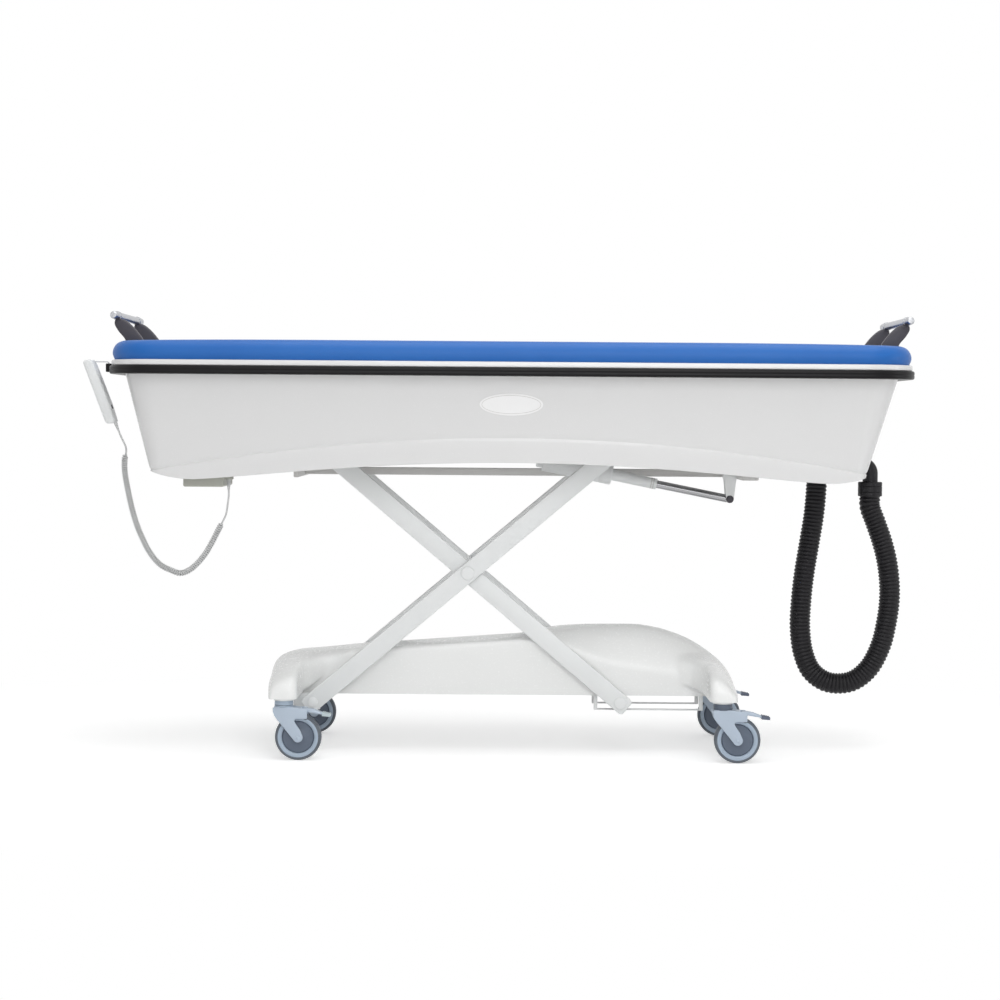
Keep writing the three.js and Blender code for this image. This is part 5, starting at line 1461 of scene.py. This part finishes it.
def make_box():
    box = plate("junction_box", BOX, (-250, -50), 1.4, 3)
    fused(box, brick("gland_shelf", (-758, -732), (-240, -220), (752, 760), 1.2))
    show(rounded(box), OLIVE_BOX, "platform", "slab", "control_box")
    seam = plate("box_seam", SEAM, (-251.2, -48.8), 0.8)
    show(seam, DARK_MOULDING, "platform", "slab")
    gland = lathe("cord_relief", GLAND, at(CORD_END[0], CONTROL_Y, 0), 32, UPWARD)
    show(gland, GREY_CORD, "platform", "cord", "cord_gland")


def make_handset():
    spots = [(HANDSET_DEPTH * deep, HANDSET_LENGTH * down) for deep, down in HANDSET]
    handset = handset_plate("hand_control", spots, HANDSET_HALF, 6, 4, 25)
    for _, share in KEYS:
        carved(handset, handset_plate("pocket_tool", key_spots(share, POCKET_HALF, -6, 4), POCKET_HALF))
    show(rounded(handset), PALE_CONTROL, "platform", "control", "handset")
    for name, share in KEYS:
        key = handset_plate(name + "_key", key_spots(share, KEY_HALF, -2.2, 1.5), KEY_HALF, 1.4, 3)
        show(key, BUTTON, name + "_button", "button", name + "_button")
    clip = handset_plate("hand_control_clip", CLIP, 9, 1)
    show(clip, DARK_MOULDING, "platform", "handle")
    start = handset_point(CORD_DEEP, HANDSET_LENGTH - 1)
    down = (handset_point(CORD_DEEP, HANDSET_LENGTH + 5) - start).normalized()
    steps = [start + down * (k * 2.2 * MM) for k in range(11)]
    relief = tube("hand_control_relief", steps, lambda i: 5.2 - 0.22 * i - (0.5 if i % 2 else 0), 28)
    show(relief, GREY_CORD, "platform", "cord")


def make_hook():
    """A block on the bumper's end, and a wire from it that holds the handset."""
    top = BUMPER_Z + BUMPER_HALF + 6
    x = TUB_MIDDLE - TUB_LENGTH / 2 - GAP
    block = brick("hook_block", (x - 15, x), (CONTROL_Y - 9, CONTROL_Y + 9), (top - 23, top), 2.5, 3)
    line = [tuple(at(x - out, CONTROL_Y, top + up)) for out, up in HOOK_WIRE]
    line.append(tuple(handset_point(HANDSET_DEPTH * 0.87 + 0.3, 12)))
    wire = tube("hook_wire", [Vector(p) for p in smooth_line(line, 6)], lambda i: 1.5, 16)
    show(block, BLACK_BUMPER, "platform", "bumper", "handset_hook")
    show(wire, SILVER, "platform", "bar")


# Studio: a white floor that keeps the shadow, pale soft light all round

WHITE = (1, 1, 1, 1)
FLOOR_COLOUR = (0.88, 0.88, 0.88, 1)
FLOOR_GLOW = 0.44
WORLD_AHEAD = 0.5
WORLD_ASIDE = 0.22
LAMPS = (
    ("front_box", (0.6, -4.6, 2.8), (0, 0, 0.6), (2.4, 2.4), 56),
    ("low_box", (0.2, -4.4, 0.75), (0, 0, 0.4), (3.2, 0.7), 16),
    ("top_box", (0.3, -0.6, 4.2), (0, 0, 0.8), (3.4, 3.4), 78),
    ("right_strip", (3.8, -1.1, 1.3), (0, 0, 0.8), (0.55, 2.4), 12),
    ("left_strip", (-3.7, -1.0, 1.3), (0, 0, 0.8), (0.5, 2.4), 5),
)  # name, place, aim, size and power


def floor_finish():
    """Plain white to the camera away from the object, and a lit floor with its shadow near it."""
    material = bpy.data.materials.new("studio_floor")
    f = Nodes(material)
    plain = f.wire("ShaderNodeBsdfDiffuse", {}, {"Color": FLOOR_COLOUR})
    glow = f.wire("ShaderNodeEmission", {}, {"Color": WHITE, "Strength": FLOOR_GLOW})
    near = f.wire("ShaderNodeAddShader", {}, {0: plain, 1: glow})
    white = f.wire("ShaderNodeEmission", {}, {"Color": WHITE, "Strength": 1.0})
    across = f.place_along("Object", "X") * 0.6
    ahead = f.place_along("Object", "Y")
    away = f.ranged((across * across + ahead * ahead) ** 0.5, 0.55, 1.7)
    seen = f.wire("ShaderNodeMixShader", {}, {0: away, 1: near, 2: white})
    both = f.wire("ShaderNodeMixShader", {}, {0: f.looked_at(), 1: plain, 2: seen})
    f.node("ShaderNodeOutputMaterial", {}, {"Surface": both})
    return material


def make_floor():
    bpy.ops.mesh.primitive_plane_add(size=60, location=(0, 0, 0))
    floor = bpy.context.active_object
    floor.name = "studio_floor"
    floor.data.materials.append(floor_finish())


def make_world():
    """White to the camera; as light, weaker from the two ends of the trolley."""
    world = bpy.data.worlds.new("studio")
    bpy.context.scene.world = world
    w = Nodes(world)
    aside = w.reckon("ABSOLUTE", w.place_along("Generated", "X"))
    strength = w.ranged(aside, 0.35, 0.95, WORLD_AHEAD, WORLD_ASIDE, "LINEAR")
    soft = w.wire("ShaderNodeBackground", {}, {"Color": WHITE, "Strength": strength})
    white = w.wire("ShaderNodeBackground", {}, {"Color": WHITE, "Strength": 1.0})
    both = w.wire("ShaderNodeMixShader", {}, {0: w.looked_at(), 1: soft, 2: white})
    w.node("ShaderNodeOutputWorld", {}, {"Surface": both})


def make_lamps():
    for name, place, aim, size, power in LAMPS:
        data = bpy.data.lights.new(name, "AREA")
        data.shape = "RECTANGLE"
        data.size, data.size_y = size
        data.energy = power
        lamp = bpy.data.objects.new(name, data)
        bpy.context.scene.collection.objects.link(lamp)
        lamp.location = place
        lamp.rotation_euler = (Vector(aim) - Vector(place)).to_track_quat("-Z", "Y").to_euler()


for make in (make_camera, make_hose, make_cord, make_shell, make_bumper, make_badge, make_liner, make_handles,
             make_arms, make_platform_frame, make_ram, make_bracket, make_cover, make_base_frame,
             make_castors, make_drain, make_box, make_handset, make_hook, make_floor, make_world, make_lamps):
    make()

bpy.context.scene.view_settings.view_transform = "Standard"
